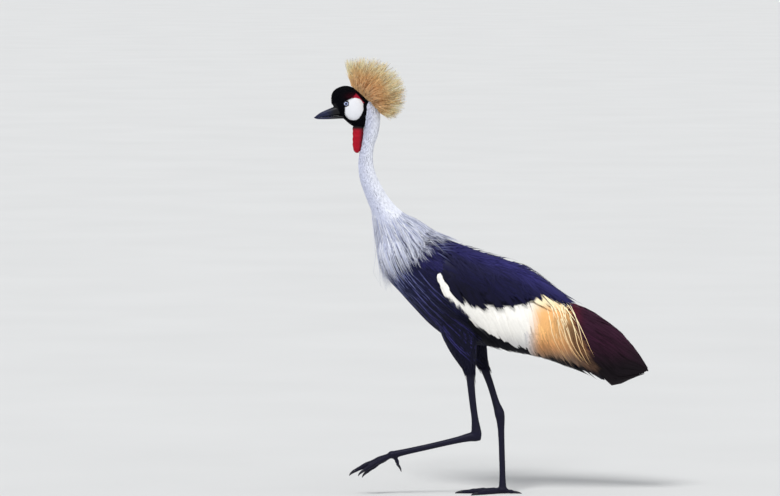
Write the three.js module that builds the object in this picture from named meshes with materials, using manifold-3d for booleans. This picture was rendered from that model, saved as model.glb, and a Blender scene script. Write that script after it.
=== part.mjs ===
// A grey crowned crane at life size, in mid stride.
// The right leg carries the bird and the left foot is raised.
// Lengths are in millimetres and +Z is up. The bird faces -X, so its left side faces -Y.
// The ground is Z = 0 and the midline is Y = 0.
// The last lines move the middle of the bounding box to X = Y = 0.
import * as THREE from "three";
import { mergeVertices } from "three/addons/utils/BufferGeometryUtils.js";
import Module from "manifold-3d";

const V = (x, y, z) => new THREE.Vector3(x, y, z);
const radians = THREE.MathUtils.degToRad;
const lerp = THREE.MathUtils.lerp;

const wasm = await Module();
wasm.setup();

// Driving dimensions
const GAP = 0.35; // clear space between pieces that touch
const BODY_FRONT = [-245, 590]; // where the body axis starts at the breast, as [x, z]
const BODY_SLOPE = 24; // degrees that the body axis falls towards the tail
const WING_SKIN = 8; // thickness of the folded wing over the body
const EYE = { x: -324.5, y: 17.4, z: 940, radius: 6.4 };
const CHEEK = { x: -306, y: 17.5, z: 927, long: 23, out: 7.5, high: 26.5 };
const CROWN = { x: -257, z: 981, radius: 77, wide: 58, bristles: 114, thick: 4.9 };
// The line behind the cap that the bristles grow from
const CROWN_SEAT = { front: [-311, 980], rear: [-255, 922] };
const VANE = 1.1; // thickness of a feather at its root
const CORE_DEPTH = 4.5; // how far the wing's core lies under the tips of its feathers
const TILT = radians(8); // each feather leans over the next one like a roof tile
const STANDING_TOES = { x: 52, y: 7, z: 9.5 }; // where the toes of the standing foot meet
const RAISED_TOES = { x: -213, y: -30, z: 97 };
const LEFT = -1;
const RIGHT = 1;

// Neck from under the skull to the breast: [x, y, z, half depth in the side view, half width]
const NECK = [
  [-269, 0, 946, 15, 14],
  [-261, 0, 915, 17.5, 16],
  [-262, 0, 893, 18.2, 16.5],
  [-266, 0, 868, 17.6, 16.3],
  [-273.4, 0, 837, 15.1, 15.6],
  [-277.6, 0, 800, 17.2, 16.8],
  [-272.3, 0, 764, 19.6, 18.6],
  [-257.5, 0, 727, 22.2, 21.5],
  [-238, 0, 690, 26.5, 26],
  [-214, 0, 653, 36, 35],
  [-190, 0, 622, 47, 48],
  [-165, 0, 592, 55, 58],
];
const NECK_CUTS = [
  { at: [-273.4, 0, 837], down: [-0.17, 0, -0.985] },
  { at: [-257.5, 0, 727], down: [0.45, 0, -0.893] },
];

// Legs, as [x, y, z, half depth, half width]. Planes part the feathered thigh, the shank and the tarsus.
const LEGS = {
  left: {
    thigh: [
      [-62, -36, 440, 46, 26],
      [-54, -39, 400, 43, 25],
      [-46, -41, 365, 35, 22],
      [-38, -41, 336, 26, 17.5],
      [-31, -40, 312, 17, 13.5],
      [-26.5, -39.4, 286, 10.6, 10],
    ],
    shank: [
      [-28, -39.7, 300, 10.6, 9.6],
      [-23.8, -38.5, 252, 9, 8.2],
      [-19.7, -37, 215, 8.4, 7.8],
      [-15.5, -35.5, 184, 8.6, 8],
      [-13, -34.5, 162, 11, 9.6],
      [-11.5, -34, 146, 12.4, 11],
      [-11, -34, 131, 9, 8],
    ],
    tarsus: [
      [-1, -34, 143, 8, 8],
      [-12, -34, 142, 12.4, 11],
      [-29, -33.6, 139.5, 10.6, 9.4],
      [-58, -33, 132.5, 8.3, 7.6],
      [-120, -32, 118, 7.4, 6.8],
      [-180, -31, 104.5, 7.7, 7.2],
      [-206, -30.3, 98.5, 8.8, 8.4],
    ],
    knee: { at: [-27, -39.5, 293], down: [0.09, 0.03, -0.995] },
    ankle: { at: [-12, -34, 142], down: [-0.66, 0, -0.75] },
  },
  right: {
    thigh: [
      [-32, 36, 440, 44, 26],
      [-26, 38, 400, 40, 25],
      [-17, 38, 365, 31, 21.5],
      [-7, 36, 337, 22, 16.5],
      [2, 34, 314, 15, 12.5],
      [13.5, 31.4, 285, 10.2, 9.8],
    ],
    shank: [
      [8.5, 32.8, 299, 10, 9.4],
      [21.5, 29.5, 264, 8.6, 8],
      [30, 27, 237, 8.3, 7.8],
      [37, 24.5, 214, 9.2, 8.4],
      [41.5, 23, 202, 11, 9.6],
      [44.5, 22, 192, 12, 11],
      [47, 22, 180, 8, 8],
    ],
    tarsus: [
      [42, 22, 203, 8, 8],
      [44.5, 22, 192, 12, 11],
      [47, 21, 176, 10.4, 9.2],
      [48.5, 18.5, 148, 8.1, 7.4],
      [50.5, 13.5, 90, 7.4, 6.8],
      [51.6, 9.5, 40, 7.7, 7.2],
      [52, 7.2, 11, 9.4, 9],
    ],
    knee: { at: [11, 32, 292], down: [0.33, -0.09, -0.94] },
    ankle: { at: [44.5, 22, 192], down: [0.25, -0.05, -0.967] },
  },
};

// Toes of each foot: the way each one points and how long it is without its claw
const FEET = {
  left: {
    root: RAISED_TOES,
    raised: true,
    toes: {
      middle: { way: [-0.95, 0.03, -0.31], length: 98, thick: 7 },
      inner: { way: [-0.87, 0.19, -0.46], length: 76, thick: 6.3 },
      outer: { way: [-0.92, -0.2, -0.36], length: 80, thick: 6.3 },
      hind: { way: [0.62, 0.12, -0.6], length: 27, thick: 5.4 },
    },
  },
  right: {
    root: STANDING_TOES,
    raised: false,
    toes: {
      middle: { way: [-1, -0.03, 0], length: 98, thick: 7 },
      inner: { way: [-0.83, -0.56, 0], length: 76, thick: 6.3 },
      outer: { way: [-0.85, 0.53, 0], length: 80, thick: 6.3 },
      hind: { way: [0.97, -0.24, 0], length: 30, thick: 5.4 },
    },
  },
};
const CLAW_LENGTH = 17;

// A seeded draw, so that every build gives the same feathers.
let drawState = 7;
function draw(low, high) {
  drawState = (drawState * 16807) % 2147483647;
  return low + ((high - low) * drawState) / 2147483647;
}

// A smooth curve through [where, value] pairs.
function profile(pairs) {
  return (where) => {
    const last = pairs.length - 1;
    if (where <= pairs[0][0]) return pairs[0][1];
    if (where >= pairs[last][0]) return pairs[last][1];
    let i = 0;
    while (pairs[i + 1][0] < where) i += 1;
    const slope = (k) => {
      const a = pairs[Math.max(k - 1, 0)];
      const b = pairs[Math.min(k + 1, last)];
      return (b[1] - a[1]) / (b[0] - a[0]);
    };
    const [x0, y0] = pairs[i];
    const [x1, y1] = pairs[i + 1];
    const h = x1 - x0;
    const t = (where - x0) / h;
    const t2 = t * t;
    const t3 = t2 * t;
    return (
      (2 * t3 - 3 * t2 + 1) * y0 +
      (t3 - 2 * t2 + t) * h * slope(i) +
      (3 * t2 - 2 * t3) * y1 +
      (t3 - t2) * h * slope(i + 1)
    );
  };
}

// The solid inside a closed set of triangles.
function solidOf(points, faces) {
  const vertices = new Float32Array(points.flatMap((p) => [p.x, p.y, p.z]));
  let volume = 0;
  for (const [a, b, c] of faces) {
    volume += points[a].dot(V(0, 0, 0).crossVectors(points[b], points[c]));
  }
  const order = volume < 0 ? faces.map(([a, b, c]) => [a, c, b]) : faces;
  const mesh = new wasm.Mesh({
    numProp: 3,
    vertProperties: vertices,
    triVerts: new Uint32Array(order.flat()),
  });
  return new wasm.Manifold(mesh);
}

// The solid of a three.js geometry, such as a sphere or a box.
function solidOfGeometry(geometry) {
  const bare = geometry.clone();
  bare.deleteAttribute("normal");
  bare.deleteAttribute("uv");
  const merged = mergeVertices(bare, 1e-3);
  const position = merged.attributes.position;
  const points = [];
  for (let i = 0; i < position.count; i += 1) {
    points.push(V(0, 0, 0).fromBufferAttribute(position, i));
  }
  const faces = [];
  for (let i = 0; i < merged.index.count; i += 3) {
    const [a, b, c] = [0, 1, 2].map((k) => merged.index.array[i + k]);
    if (a !== b && b !== c && c !== a) faces.push([a, b, c]);
  }
  return solidOf(points, faces);
}

// Joins rings of points into one closed body.
// Each end gets a fan, or a strip where the rings are thin and bent.
function loft(rings, bent = false) {
  const n = rings[0].length;
  const points = rings.flat();
  const faces = [];
  for (let i = 0; i < rings.length - 1; i += 1) {
    for (let k = 0; k < n; k += 1) {
      const a = i * n + k;
      const b = i * n + ((k + 1) % n);
      faces.push([a, b, b + n], [a, b + n, a + n]);
    }
  }
  const lastStart = (rings.length - 1) * n;
  if (bent) {
    for (let k = 0; k < n / 2 - 1; k += 1) {
      const [a, b, c, d] = [k, k + 1, n - 2 - k, n - 1 - k];
      faces.push([a, c, b], [a, d, c]);
      faces.push([a, b, c].map((q) => q + lastStart), [a, c, d].map((q) => q + lastStart));
    }
    return solidOf(points, faces);
  }
  const middle = (ring) => ring.reduce((sum, p) => sum.add(p), V(0, 0, 0)).divideScalar(n);
  const first = points.push(middle(rings[0])) - 1;
  const last = points.push(middle(rings[rings.length - 1])) - 1;
  for (let k = 0; k < n; k += 1) {
    const next = (k + 1) % n;
    faces.push([first, next, k], [last, lastStart + k, lastStart + next]);
  }
  return solidOf(points, faces);
}

// An elliptical ring about a centre: deep along "up" and wide along "side".
function ring(centre, up, side, deep, wide, sides) {
  const points = [];
  for (let k = 0; k < sides; k += 1) {
    const angle = (2 * Math.PI * k) / sides;
    const point = centre.clone().addScaledVector(up, deep * Math.cos(angle));
    points.push(point.addScaledVector(side, wide * Math.sin(angle)));
  }
  return points;
}

// A limb through stations of [x, y, z, half depth, half width].
function limb(stations, { sides = 12, steps = stations.length * 2 - 2, grow = 0, across = V(0, 1, 0) } = {}) {
  const path = new THREE.CatmullRomCurve3(
    stations.map(([x, y, z]) => V(x, y, z)),
    false,
    "centripetal",
  );
  const share = (i) => i / (stations.length - 1);
  const deep = profile(stations.map((s, i) => [share(i), s[3]]));
  const wide = profile(stations.map((s, i) => [share(i), s[4]]));
  const rings = [];
  for (let i = 0; i <= steps; i += 1) {
    const t = i / steps;
    const along = path.getTangent(t).normalize();
    const side = across.clone().addScaledVector(along, -across.dot(along)).normalize();
    const up = V(0, 0, 0).crossVectors(along, side);
    rings.push(ring(path.getPoint(t), up, side, deep(t) + grow, wide(t) + grow, sides));
  }
  return loft(rings);
}

// A flat blade through stations of { at, side, up, half, thick }. Both faces are split alike.
function blade(stations) {
  const points = [];
  for (const { at, side, up, half, thick } of stations) {
    for (const [across, out] of [[-1, 1], [1, 1], [1, -1], [-1, -1]]) {
      const corner = at.clone().addScaledVector(side, across * half);
      points.push(corner.addScaledVector(up, (out * thick) / 2));
    }
  }
  const faces = [[0, 2, 1], [0, 3, 2]];
  const end = (stations.length - 1) * 4;
  for (let i = 0; i < end; i += 4) {
    const [a, b, c, d] = [i, i + 1, i + 2, i + 3];
    faces.push([a, b, b + 4], [a, b + 4, a + 4], [d, c + 4, c], [d, d + 4, c + 4]);
    faces.push([b, c, c + 4], [b, c + 4, b + 4], [d, a, a + 4], [d, a + 4, d + 4]);
  }
  faces.push([end, end + 1, end + 2], [end, end + 2, end + 3]);
  return solidOf(points, faces);
}

// A lock of bristles: three-sided and flat, widest past its middle and narrow at both ends.
function bristleLock(from, to, thick) {
  const along = to.clone().sub(from).normalize();
  const side = V(0.31, 0.87, 0.38).cross(along).normalize().applyAxisAngle(along, draw(0, 3));
  const up = V(0, 0, 0).crossVectors(along, side);
  const widest = ring(from.clone().lerp(to, 0.6), up, side, thick * 0.55, thick, 3);
  const faces = [];
  for (let k = 0; k < 3; k += 1) {
    const next = (k + 1) % 3;
    faces.push([k + 1, 0, next + 1], [k + 1, next + 1, 4]);
  }
  return solidOf([from, ...widest, to], faces);
}

const unite = (solids) => wasm.Manifold.union(solids);

// The largest closed surface of a solid, which drops scraps and fills sealed hollows.
function largest(solid) {
  return solid.decompose().reduce((a, b) => (b.volume() > a.volume() ? b : a));
}

// Parts a solid by a plane with a clear gap, and gives the half that lies before it and the half beyond it.
function part(solid, { at, down }) {
  const normal = V(...down).normalize();
  const offset = V(...at).dot(normal);
  const beyond = solid.trimByPlane([normal.x, normal.y, normal.z], offset + GAP / 2);
  const before = solid.trimByPlane([-normal.x, -normal.y, -normal.z], GAP / 2 - offset);
  return [largest(before), largest(beyond)];
}

function ellipsoid(x, y, z, rx, ry, rz, wide = 12, high = 7) {
  return solidOfGeometry(new THREE.SphereGeometry(1, wide, high).scale(rx, ry, rz).translate(x, y, z));
}

// The body's own frame: s runs from the breast to the tail and h rises square to it in the side view.
const slope = radians(BODY_SLOPE);
const ALONG = V(Math.cos(slope), 0, -Math.sin(slope));
const RISE = V(Math.sin(slope), 0, Math.cos(slope));
const bodyPoint = (s, h, y = 0) =>
  V(BODY_FRONT[0], y, BODY_FRONT[1]).addScaledVector(ALONG, s).addScaledVector(RISE, h);

// Sections of the body along s, as [s, top, bottom, half width]
function sections(rows) {
  return {
    top: profile(rows.map(([s, top]) => [s, top])),
    low: profile(rows.map(([s, , low]) => [s, low])),
    half: profile(rows.map(([s, , , half]) => [s, half])),
    ends: [rows[0][0], rows[rows.length - 1][0]],
  };
}
const TORSO = sections([
  [-6, 40, 14, 10],
  [4, 58, -12, 30],
  [20, 68, -34, 46],
  [50, 76, -56, 60],
  [90, 78, -74, 71],
  [140, 79, -96, 78],
  [190, 82, -116, 82],
  [240, 88, -126, 82],
  [290, 93, -120, 78],
  [340, 93, -104, 71],
  [390, 84, -90, 61],
  [440, 70, -72, 49],
  [490, 54, -56, 36],
  [530, 37, -42, 23],
  [552, 20, -28, 12],
  [560, 6, -18, 5],
]);
// The folded wings lie over that body and run on past it to the tips of the long inner quills.
const WING = sections([
  [95, 86, -40, 78],
  [130, 89, -70, 87],
  [170, 91, -92, 92],
  [210, 93.5, -106, 94],
  [250, 97, -110, 93],
  [290, 102, -109, 90],
  [330, 105, -108, 86],
  [370, 99.5, -101, 81],
  [410, 90, -91, 75],
  [450, 80, -81, 69],
  [490, 75.5, -76, 62],
  [530, 70.5, -74, 54],
  [570, 62.5, -71, 45],
  [610, 53, -76, 35],
  [645, 37, -78, 25],
  [672, 23, -52, 18],
  [693, 10, -28, 11],
  [708, 1, -15, 6],
]);
const WING_ROUND = 2.3; // 2 is an ellipse, and more is squarer

function onSection(table, s, angle, round, grow = 0) {
  const top = table.top(s) + grow;
  const low = table.low(s) - grow;
  const cos = Math.cos(angle);
  const sin = Math.sin(angle);
  const rise = Math.sign(cos) * Math.abs(cos) ** (2 / round);
  const across = Math.sign(sin) * Math.abs(sin) ** (2 / round);
  return bodyPoint(s, (top + low) / 2 + (rise * (top - low)) / 2, across * (table.half(s) + grow));
}

// The angle round the section at which the side view shows the height h.
function angleAt(table, s, h, round) {
  const middle = (table.top(s) + table.low(s)) / 2;
  const reach = (table.top(s) - table.low(s)) / 2;
  const share = THREE.MathUtils.clamp((h - middle) / reach, -0.985, 0.985);
  return Math.acos(Math.sign(share) * Math.abs(share) ** (round / 2));
}

// A point lifted off the surface, with the way out of it.
function liftedPoint(table, round, s, angle, lift) {
  const at = (ds, turn) => onSection(table, s + ds, angle + turn, round);
  const along = at(1, 0).sub(at(-1, 0));
  const around = at(0, 0.02).sub(at(0, -0.02));
  const up = V(0, 0, 0).crossVectors(along, around).normalize();
  return { at: at(0, 0).addScaledVector(up, lift), up };
}

// A feather on a body surface. Root and tip are [s, h] of the side view, and hand is the side of the bird.
// Lift is its height over the surface at the root, a third of the way along and at the tip.
function feather(table, round, hand, root, tip, options) {
  const { half, lift, tilt = TILT, parts = 3, point = 0.3, thick = VANE } = options;
  const ends = [root, tip].map(([s, h]) => [s, hand * angleAt(table, s, h, round)]);
  const place = (t) => {
    const [s, angle] = [0, 1].map((k) => lerp(ends[0][k], ends[1][k], t));
    const height = t < 1 / 3 ? lerp(lift[0], lift[1], 3 * t) : lerp(lift[1], lift[2], (3 * t - 1) / 2);
    return liftedPoint(table, round, s, angle, height);
  };
  const stations = [];
  for (let i = 0; i <= parts; i += 1) {
    const t = i / parts;
    const { at, up } = place(t);
    const along = place(Math.min(t + 0.03, 1)).at.sub(place(Math.max(t - 0.03, 0)).at).normalize();
    const side = V(0, 0, 0).crossVectors(up, along).normalize();
    const leaned = side.clone().applyAxisAngle(along, hand * tilt);
    const grown = t < 0.5 ? lerp(0.6, 1, t * 2) : lerp(1, point, (t * 2 - 1) ** 2.2);
    const out = V(0, 0, 0).crossVectors(along, leaned).normalize();
    stations.push({ at, side: leaned, up: out, half: half * grown, thick: lerp(thick, 0.7, t) });
  }
  return blade(stations);
}

// A row of feathers: root and tip each run along a line of the side view as u goes from 0 to 1.
function row(table, round, hand, count, rootAt, tipAt, options) {
  const made = [];
  for (let i = 0; i < count; i += 1) {
    const u = count === 1 ? 0.5 : i / (count - 1);
    const [tipS, tipH] = tipAt(u);
    const tip = [tipS + draw(-3, 3), tipH + draw(-1.5, 1.5)];
    made.push(feather(table, round, hand, rootAt(u), tip, options));
  }
  return made;
}
const line = (from, to) => (u) => [lerp(from[0], to[0], u), lerp(from[1], to[1], u)];
// A bent line through [u, s, h] rows
function guide(rows) {
  const s = profile(rows.map((r) => [r[0], r[1]]));
  const h = profile(rows.map((r) => [r[0], r[2]]));
  return (u) => [s(u), h(u)];
}

function torsoSolid(grow = 0) {
  const rings = [];
  const steps = [-6, 0, 15, 45, 85, 135, 190, 250, 310, 370, 425, 480, 530, 560];
  const sides = 16;
  const last = steps.length - 1;
  steps.forEach((s, i) => {
    const shift = ALONG.clone().multiplyScalar(i === 0 ? -grow : i === last ? grow : 0);
    const points = [];
    for (let k = 0; k < sides; k += 1) {
      points.push(onSection(TORSO, s, (2 * Math.PI * k) / sides, 2, grow).add(shift));
    }
    rings.push(points);
  });
  return loft(rings);
}

// The core of one folded wing: a shell that follows the body from the midline of the back to its lower edge.
function wingCore(hand, grow = 0) {
  const rings = [];
  const count = 10;
  const across = 6;
  const end = 622;
  for (let i = 0; i <= count; i += 1) {
    const s = lerp(WING.ends[0], end, i / count);
    const outer = grow - CORE_DEPTH;
    const inner = outer - lerp(WING_SKIN, 3, (i / count) ** 2) - 2 * grow;
    const points = [];
    const angleOf = (k) => hand * lerp(radians(0.2), radians(140), k / across);
    for (let k = 0; k <= across; k += 1) points.push(onSection(WING, s, angleOf(k), WING_ROUND, outer));
    for (let k = across; k >= 0; k -= 1) points.push(onSection(WING, s, angleOf(k), WING_ROUND, inner));
    rings.push(points);
  }
  return loft(rings, true);
}

// The tiers of one folded wing, each as a row of feathers
function wingTiers(hand) {
  const tier = (count, rootAt, tipAt, options) => row(WING, WING_ROUND, hand, count, rootAt, tipAt, options);
  return [
    // black outer quills along the lower edge
    tier(4, line([306, -84], [470, -62]), line([400, -107], [590, -82]), {
      half: 9,
      lift: [-8, -1, 0],
      point: 0.15,
    }),
    // chestnut inner quills, which run on past the body to the tips
    tier(
      8,
      line([520, 56], [530, -58]),
      guide([
        [0, 636, 44],
        [0.2, 672, 20],
        [0.4, 700, 2],
        [0.5, 708, -4],
        [0.65, 694, -17],
        [0.85, 660, -46],
        [1, 618, -64],
      ]),
      { half: 13, lift: [-7, -2, -1], tilt: 1.2 * TILT, point: 0.5 },
    ),
    // white coverts
    tier(4, line([176, -14], [236, -54]), line([244, -44], [310, -76]), { half: 14, lift: [-8, -1, 1] }),
    tier(5, line([264, -34], [366, 0]), line([338, -80], [444, -70]), {
      half: 13,
      lift: [-8, -1, 1],
      tilt: 1.4 * TILT,
    }),
    // golden plumes
    tier(7, line([388, 12], [448, 58]), line([456, -70], [574, -40]), {
      half: 6,
      lift: [-8, 2.5, 4],
      point: 0.12,
    }),
    // dark shoulder feathers in three rows, with ragged tips over the white
    tier(4, line([290, 90], [336, 30]), line([446, 70], [402, 36]), { half: 17, lift: [-8, -1, 3] }),
    tier(5, line([204, 84], [226, 4]), line([326, 84], [320, -6]), { half: 18, lift: [-8, -1, 3] }),
    tier(5, line([126, 78], [150, 2]), line([230, 82], [234, -24]), { half: 18, lift: [-8, -1, 3] }),
    // long plumes from the breast over the wing's front edge
    tier(4, line([146, 0], [176, -66]), line([214, -48], [330, -100]), {
      half: 6,
      lift: [-8, 2, 4],
      point: 0.1,
    }),
  ].flat();
}

function makeWing(hand, rooms) {
  const wing = unite([wingCore(hand), ...wingTiers(hand)]).trimByPlane([0, hand, 0], GAP / 2);
  return largest(rooms.reduce((solid, room) => solid.subtract(room), wing));
}

// The torso with the long plumes of the breast, which lie back along its sides and its underside
function makeTorso(rooms) {
  const parts = [torsoSolid()];
  for (const hand of [LEFT, RIGHT]) {
    const plumes = (count, rootAt, tipAt, options) => row(TORSO, 2, hand, count, rootAt, tipAt, options);
    parts.push(
      ...plumes(4, line([88, -34], [78, -64]), line([122, -66], [150, -106]), {
        half: 7,
        lift: [-4, 2.5, 4],
        point: 0.1,
      }),
      ...plumes(4, line([128, -62], [130, -92]), line([186, -96], [214, -126]), {
        half: 8,
        lift: [-4, 2.5, 4],
        point: 0.1,
      }),
    );
  }
  return largest(rooms.reduce((solid, room) => solid.subtract(room), unite(parts)));
}

// Long plumes that hang from the base of the neck over the breast, clear of the body under them
function neckPlumes(grow = 0) {
  const made = [];
  const count = 11;
  for (let i = 0; i < count; i += 1) {
    const u = (2 * i) / (count - 1) - 1; // from the left side round the front to the right side
    const round = Math.abs(u);
    const layer = i % 2;
    const angle = u * radians(118);
    const from = neckPoint(lerp(0.735, 0.8, round) + layer * 0.05, angle, -4);
    const [s, h] = [lerp(50, 94, round ** 1.5), lerp(-82, 34, round) + layer * 12];
    const reach = lerp(9, 76, Math.min(round * 1.4, 1));
    const to = bodyPoint(s, h, Math.sign(u) * reach);
    const stations = [0, 0.3, 0.62, 1].map((t) => {
      const bulge = V(-10 * Math.sin(Math.PI * t) * (1 - round), 0, 0);
      const at = clearOfTorso(from.clone().lerp(to, t).add(bulge), 2 + layer * 2.5);
      const up = V(Math.cos(angle) * -1, Math.sin(angle), 0.25).normalize();
      const along = to.clone().sub(from).normalize();
      const side = V(0, 0, 0).crossVectors(up, along).normalize();
      const out = V(0, 0, 0).crossVectors(along, side).normalize();
      const shape = [0.7, 1, 0.8, 0.15][Math.round(t * 3)];
      return { at, side, up: out, half: 7.5 * shape + grow, thick: lerp(1.3, 0.7, t) + 2 * grow };
    });
    made.push(blade(stations));
  }
  return made;
}

// A point of the neck's surface: t runs down its length, and the angle from the throat (0) round to a side.
function neckPoint(t, angle, lift) {
  const path = new THREE.CatmullRomCurve3(NECK.map(([x, y, z]) => V(x, y, z)), false, "centripetal");
  const along = path.getTangent(t).normalize();
  const side = V(0, 1, 0);
  const front = V(0, 0, 0).crossVectors(along, side).normalize();
  if (front.x > 0) front.negate();
  const share = (i) => i / (NECK.length - 1);
  const deep = profile(NECK.map((n, i) => [share(i), n[3]]))(t);
  const wide = profile(NECK.map((n, i) => [share(i), n[4]]))(t);
  const out = front.multiplyScalar(Math.cos(angle) * (deep + lift));
  out.addScaledVector(side, Math.sin(angle) * (wide + lift));
  return path.getPoint(t).add(out);
}

// Pushes a point straight out of the torso's section until it is clear by the given lift.
function clearOfTorso(point, lift) {
  const from = point.clone().sub(bodyPoint(0, 0));
  const s = from.dot(ALONG);
  const h = from.dot(RISE);
  if (s < TORSO.ends[0]) return point;
  const middle = (TORSO.top(s) + TORSO.low(s)) / 2;
  const reach = (TORSO.top(s) - TORSO.low(s)) / 2 + lift;
  const size = Math.hypot((h - middle) / reach, point.y / (TORSO.half(s) + lift));
  if (size >= 1) return point;
  return bodyPoint(s, middle + (h - middle) / size, point.y / size);
}

// Head: sections across X of [x, top, bottom, half width]
const HEAD = [
  [-359.5, 956, 949, 3],
  [-357, 965, 935, 9],
  [-350, 973.5, 923, 14],
  [-340, 979, 913, 18],
  [-327, 982, 901, 21.5],
  [-314, 980, 890, 23.5],
  [-301, 973.5, 883, 23.6],
  [-289, 963.5, 882, 22],
  [-278, 952, 885, 18.6],
  [-268, 940, 893, 14],
  [-261, 928, 904, 7],
];
function headSolid(grow = 0) {
  const rings = HEAD.map(([x, top, bottom, half], i) => {
    const end = i === 0 ? -grow : i === HEAD.length - 1 ? grow : 0;
    const middle = V(x + end, 0, (top + bottom) / 2);
    return ring(middle, V(0, 0, 1), V(0, 1, 0), (top - bottom) / 2 + grow, half + grow, 16);
  });
  return loft(rings);
}

function makeHead() {
  let head = headSolid();
  for (const hand of [LEFT, RIGHT]) {
    head = head.add(ellipsoid(CHEEK.x, hand * CHEEK.y, CHEEK.z, CHEEK.long, CHEEK.out, CHEEK.high));
    const lid = new THREE.TorusGeometry(EYE.radius - 0.3, 1.6, 4, 11).rotateX(Math.PI / 2);
    head = head.add(solidOfGeometry(lid.translate(EYE.x, hand * (EYE.y + 3.6), EYE.z)));
  }
  for (const hand of [LEFT, RIGHT]) {
    const socket = EYE.radius + GAP;
    head = head.subtract(ellipsoid(EYE.x, hand * EYE.y, EYE.z, socket, socket, socket));
  }
  return largest(head);
}

// Bill: sections across X of [x, top, bottom, half width]
const BILL_UPPER = [
  [-402, 905.9, 904.6, 1],
  [-396, 911, 905, 3],
  [-386, 918, 906.1, 5],
  [-372, 924.5, 907.7, 7],
  [-358, 930.5, 909.6, 9],
  [-343, 937, 911.6, 11],
];
const BILL_LOWER = [
  [-399, 904.9, 903.6, 1],
  [-393, 905.3, 902.4, 2.6],
  [-384, 906.2, 902, 4.4],
  [-370, 907.9, 902, 6.2],
  [-356, 909.8, 902.6, 8.2],
  [-338, 912, 903.4, 10.2],
];
const NOSTRIL = { x: -368, y: 7.2, z: 916.5 };
function billSolid(rows, raise = 0) {
  const rings = rows.map(([x, top, bottom, half]) =>
    ring(V(x, 0, (top + bottom) / 2 + raise), V(0, 0, 1), V(0, 1, 0), (top - bottom) / 2, half, 12),
  );
  return loft(rings);
}
function makeBillUpper() {
  let bill = billSolid(BILL_UPPER).subtract(headSolid(GAP));
  for (const hand of [LEFT, RIGHT]) {
    bill = bill.subtract(ellipsoid(NOSTRIL.x, hand * NOSTRIL.y, NOSTRIL.z, 5.5, 2, 1.7, 8, 6));
  }
  return largest(bill);
}
function makeBillLower() {
  const upper = billSolid(BILL_UPPER, -GAP).add(billSolid(BILL_UPPER));
  return largest(billSolid(BILL_LOWER).subtract(headSolid(GAP)).subtract(upper));
}

// The red throat wattle: two lobes side by side before the neck
function makeWattle() {
  const lobe = (hand) =>
    limb(
      [
        [-297, hand * 3, 893, 11, 6],
        [-296, hand * 3.6, 876, 13, 6.8],
        [-297, hand * 4, 856, 12, 7.2],
        [-298, hand * 4.2, 838, 10.5, 6.8],
        [-298.5, hand * 4.2, 827, 7.5, 5.2],
        [-298.5, hand * 4.2, 821.5, 3, 2.4],
      ],
      { sides: 9, steps: 5 },
    );
  return largest(lobe(LEFT).add(lobe(RIGHT)).subtract(headSolid(GAP)).subtract(neckSolid(GAP)));
}

const neckSolid = (grow = 0) => limb(NECK, { sides: 14, steps: 16, grow });

// The crown: stiff bristles that spread from a low seat behind the cap to a round outline
function makeCrown() {
  const { front, rear } = CROWN_SEAT;
  const seatPoint = (u) => V(lerp(front[0], rear[0], u), 0, lerp(front[1], rear[1], u));
  const core = seatPoint(0.5).add(V(8, 0, 7));
  const parts = [ellipsoid(core.x, 0, core.z, 34, 22, 34, 14, 8)];
  const centre = V(CROWN.x, 0, CROWN.z);
  const axis = V(0.77, 0, 0.64); // out of the middle of the fan
  const frontward = V(-0.64, 0, 0.77);
  const turnPerBristle = Math.PI * (3 - Math.sqrt(5));
  for (let i = 0; i < CROWN.bristles; i += 1) {
    const cos = lerp(1, Math.cos(radians(124)), (i + 0.5) / CROWN.bristles);
    const sin = Math.sqrt(1 - cos * cos);
    const turn = i * turnPerBristle;
    const direction = axis.clone().multiplyScalar(cos).addScaledVector(frontward, sin * Math.cos(turn));
    const away = draw(0.93, 1.02);
    const tip = centre.clone().addScaledVector(direction, CROWN.radius * away);
    tip.y = sin * Math.sin(turn) * CROWN.wide * away;
    const root = seatPoint(0.5 - 0.46 * sin * Math.cos(turn)).add(V(0, (tip.y / CROWN.wide) * 9, 0));
    parts.push(bristleLock(root, tip, CROWN.thick * draw(0.85, 1.15)));
  }
  const rooms = [headSolid(GAP), neckSolid(GAP), cheekRoom()];
  return largest(rooms.reduce((solid, room) => solid.subtract(room), unite(parts)));
}
function cheekRoom() {
  const room = (hand) =>
    ellipsoid(CHEEK.x, hand * CHEEK.y, CHEEK.z, CHEEK.long + GAP, CHEEK.out + GAP, CHEEK.high + GAP);
  return room(LEFT).add(room(RIGHT));
}

// The tail lies between the folded wings and under them: a short root and a fan of flat feathers.
function tailRoot(grow = 0) {
  const rows = [[480, 6, 15, 20], [520, -4, 12, 22], [560, -13, 8, 17], [585, -19, 4, 12]];
  const stations = rows.map(([s, h, deep, wide]) => [...bodyPoint(s, h).toArray(), deep, wide]);
  return limb(stations, { sides: 8, steps: 4, grow });
}
function makeTail(rooms) {
  const parts = [tailRoot()];
  const count = 5;
  for (let i = 0; i < count; i += 1) {
    const u = (2 * i) / (count - 1) - 1;
    const depth = 3 * Math.abs(u);
    const from = bodyPoint(540, -9 - depth, u * 12);
    const to = bodyPoint(655 - 14 * Math.abs(u), -46 - depth * 3, u * 15);
    const along = to.clone().sub(from).normalize();
    const tilted = V(0, 1, 0).applyAxisAngle(along, u * 0.5);
    const up = V(0, 0, 0).crossVectors(along, tilted).normalize();
    const stations = [0, 0.35, 0.75, 1].map((t, k) => ({
      at: from.clone().lerp(to, t).addScaledVector(up, (i % 2) * 1.8 * t),
      side: tilted,
      up,
      half: [6, 7.5, 7.5, 3][k],
      thick: lerp(VANE, 0.8, t),
    }));
    parts.push(blade(stations));
  }
  return largest(rooms.reduce((solid, room) => solid.subtract(room), unite(parts)));
}

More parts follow.
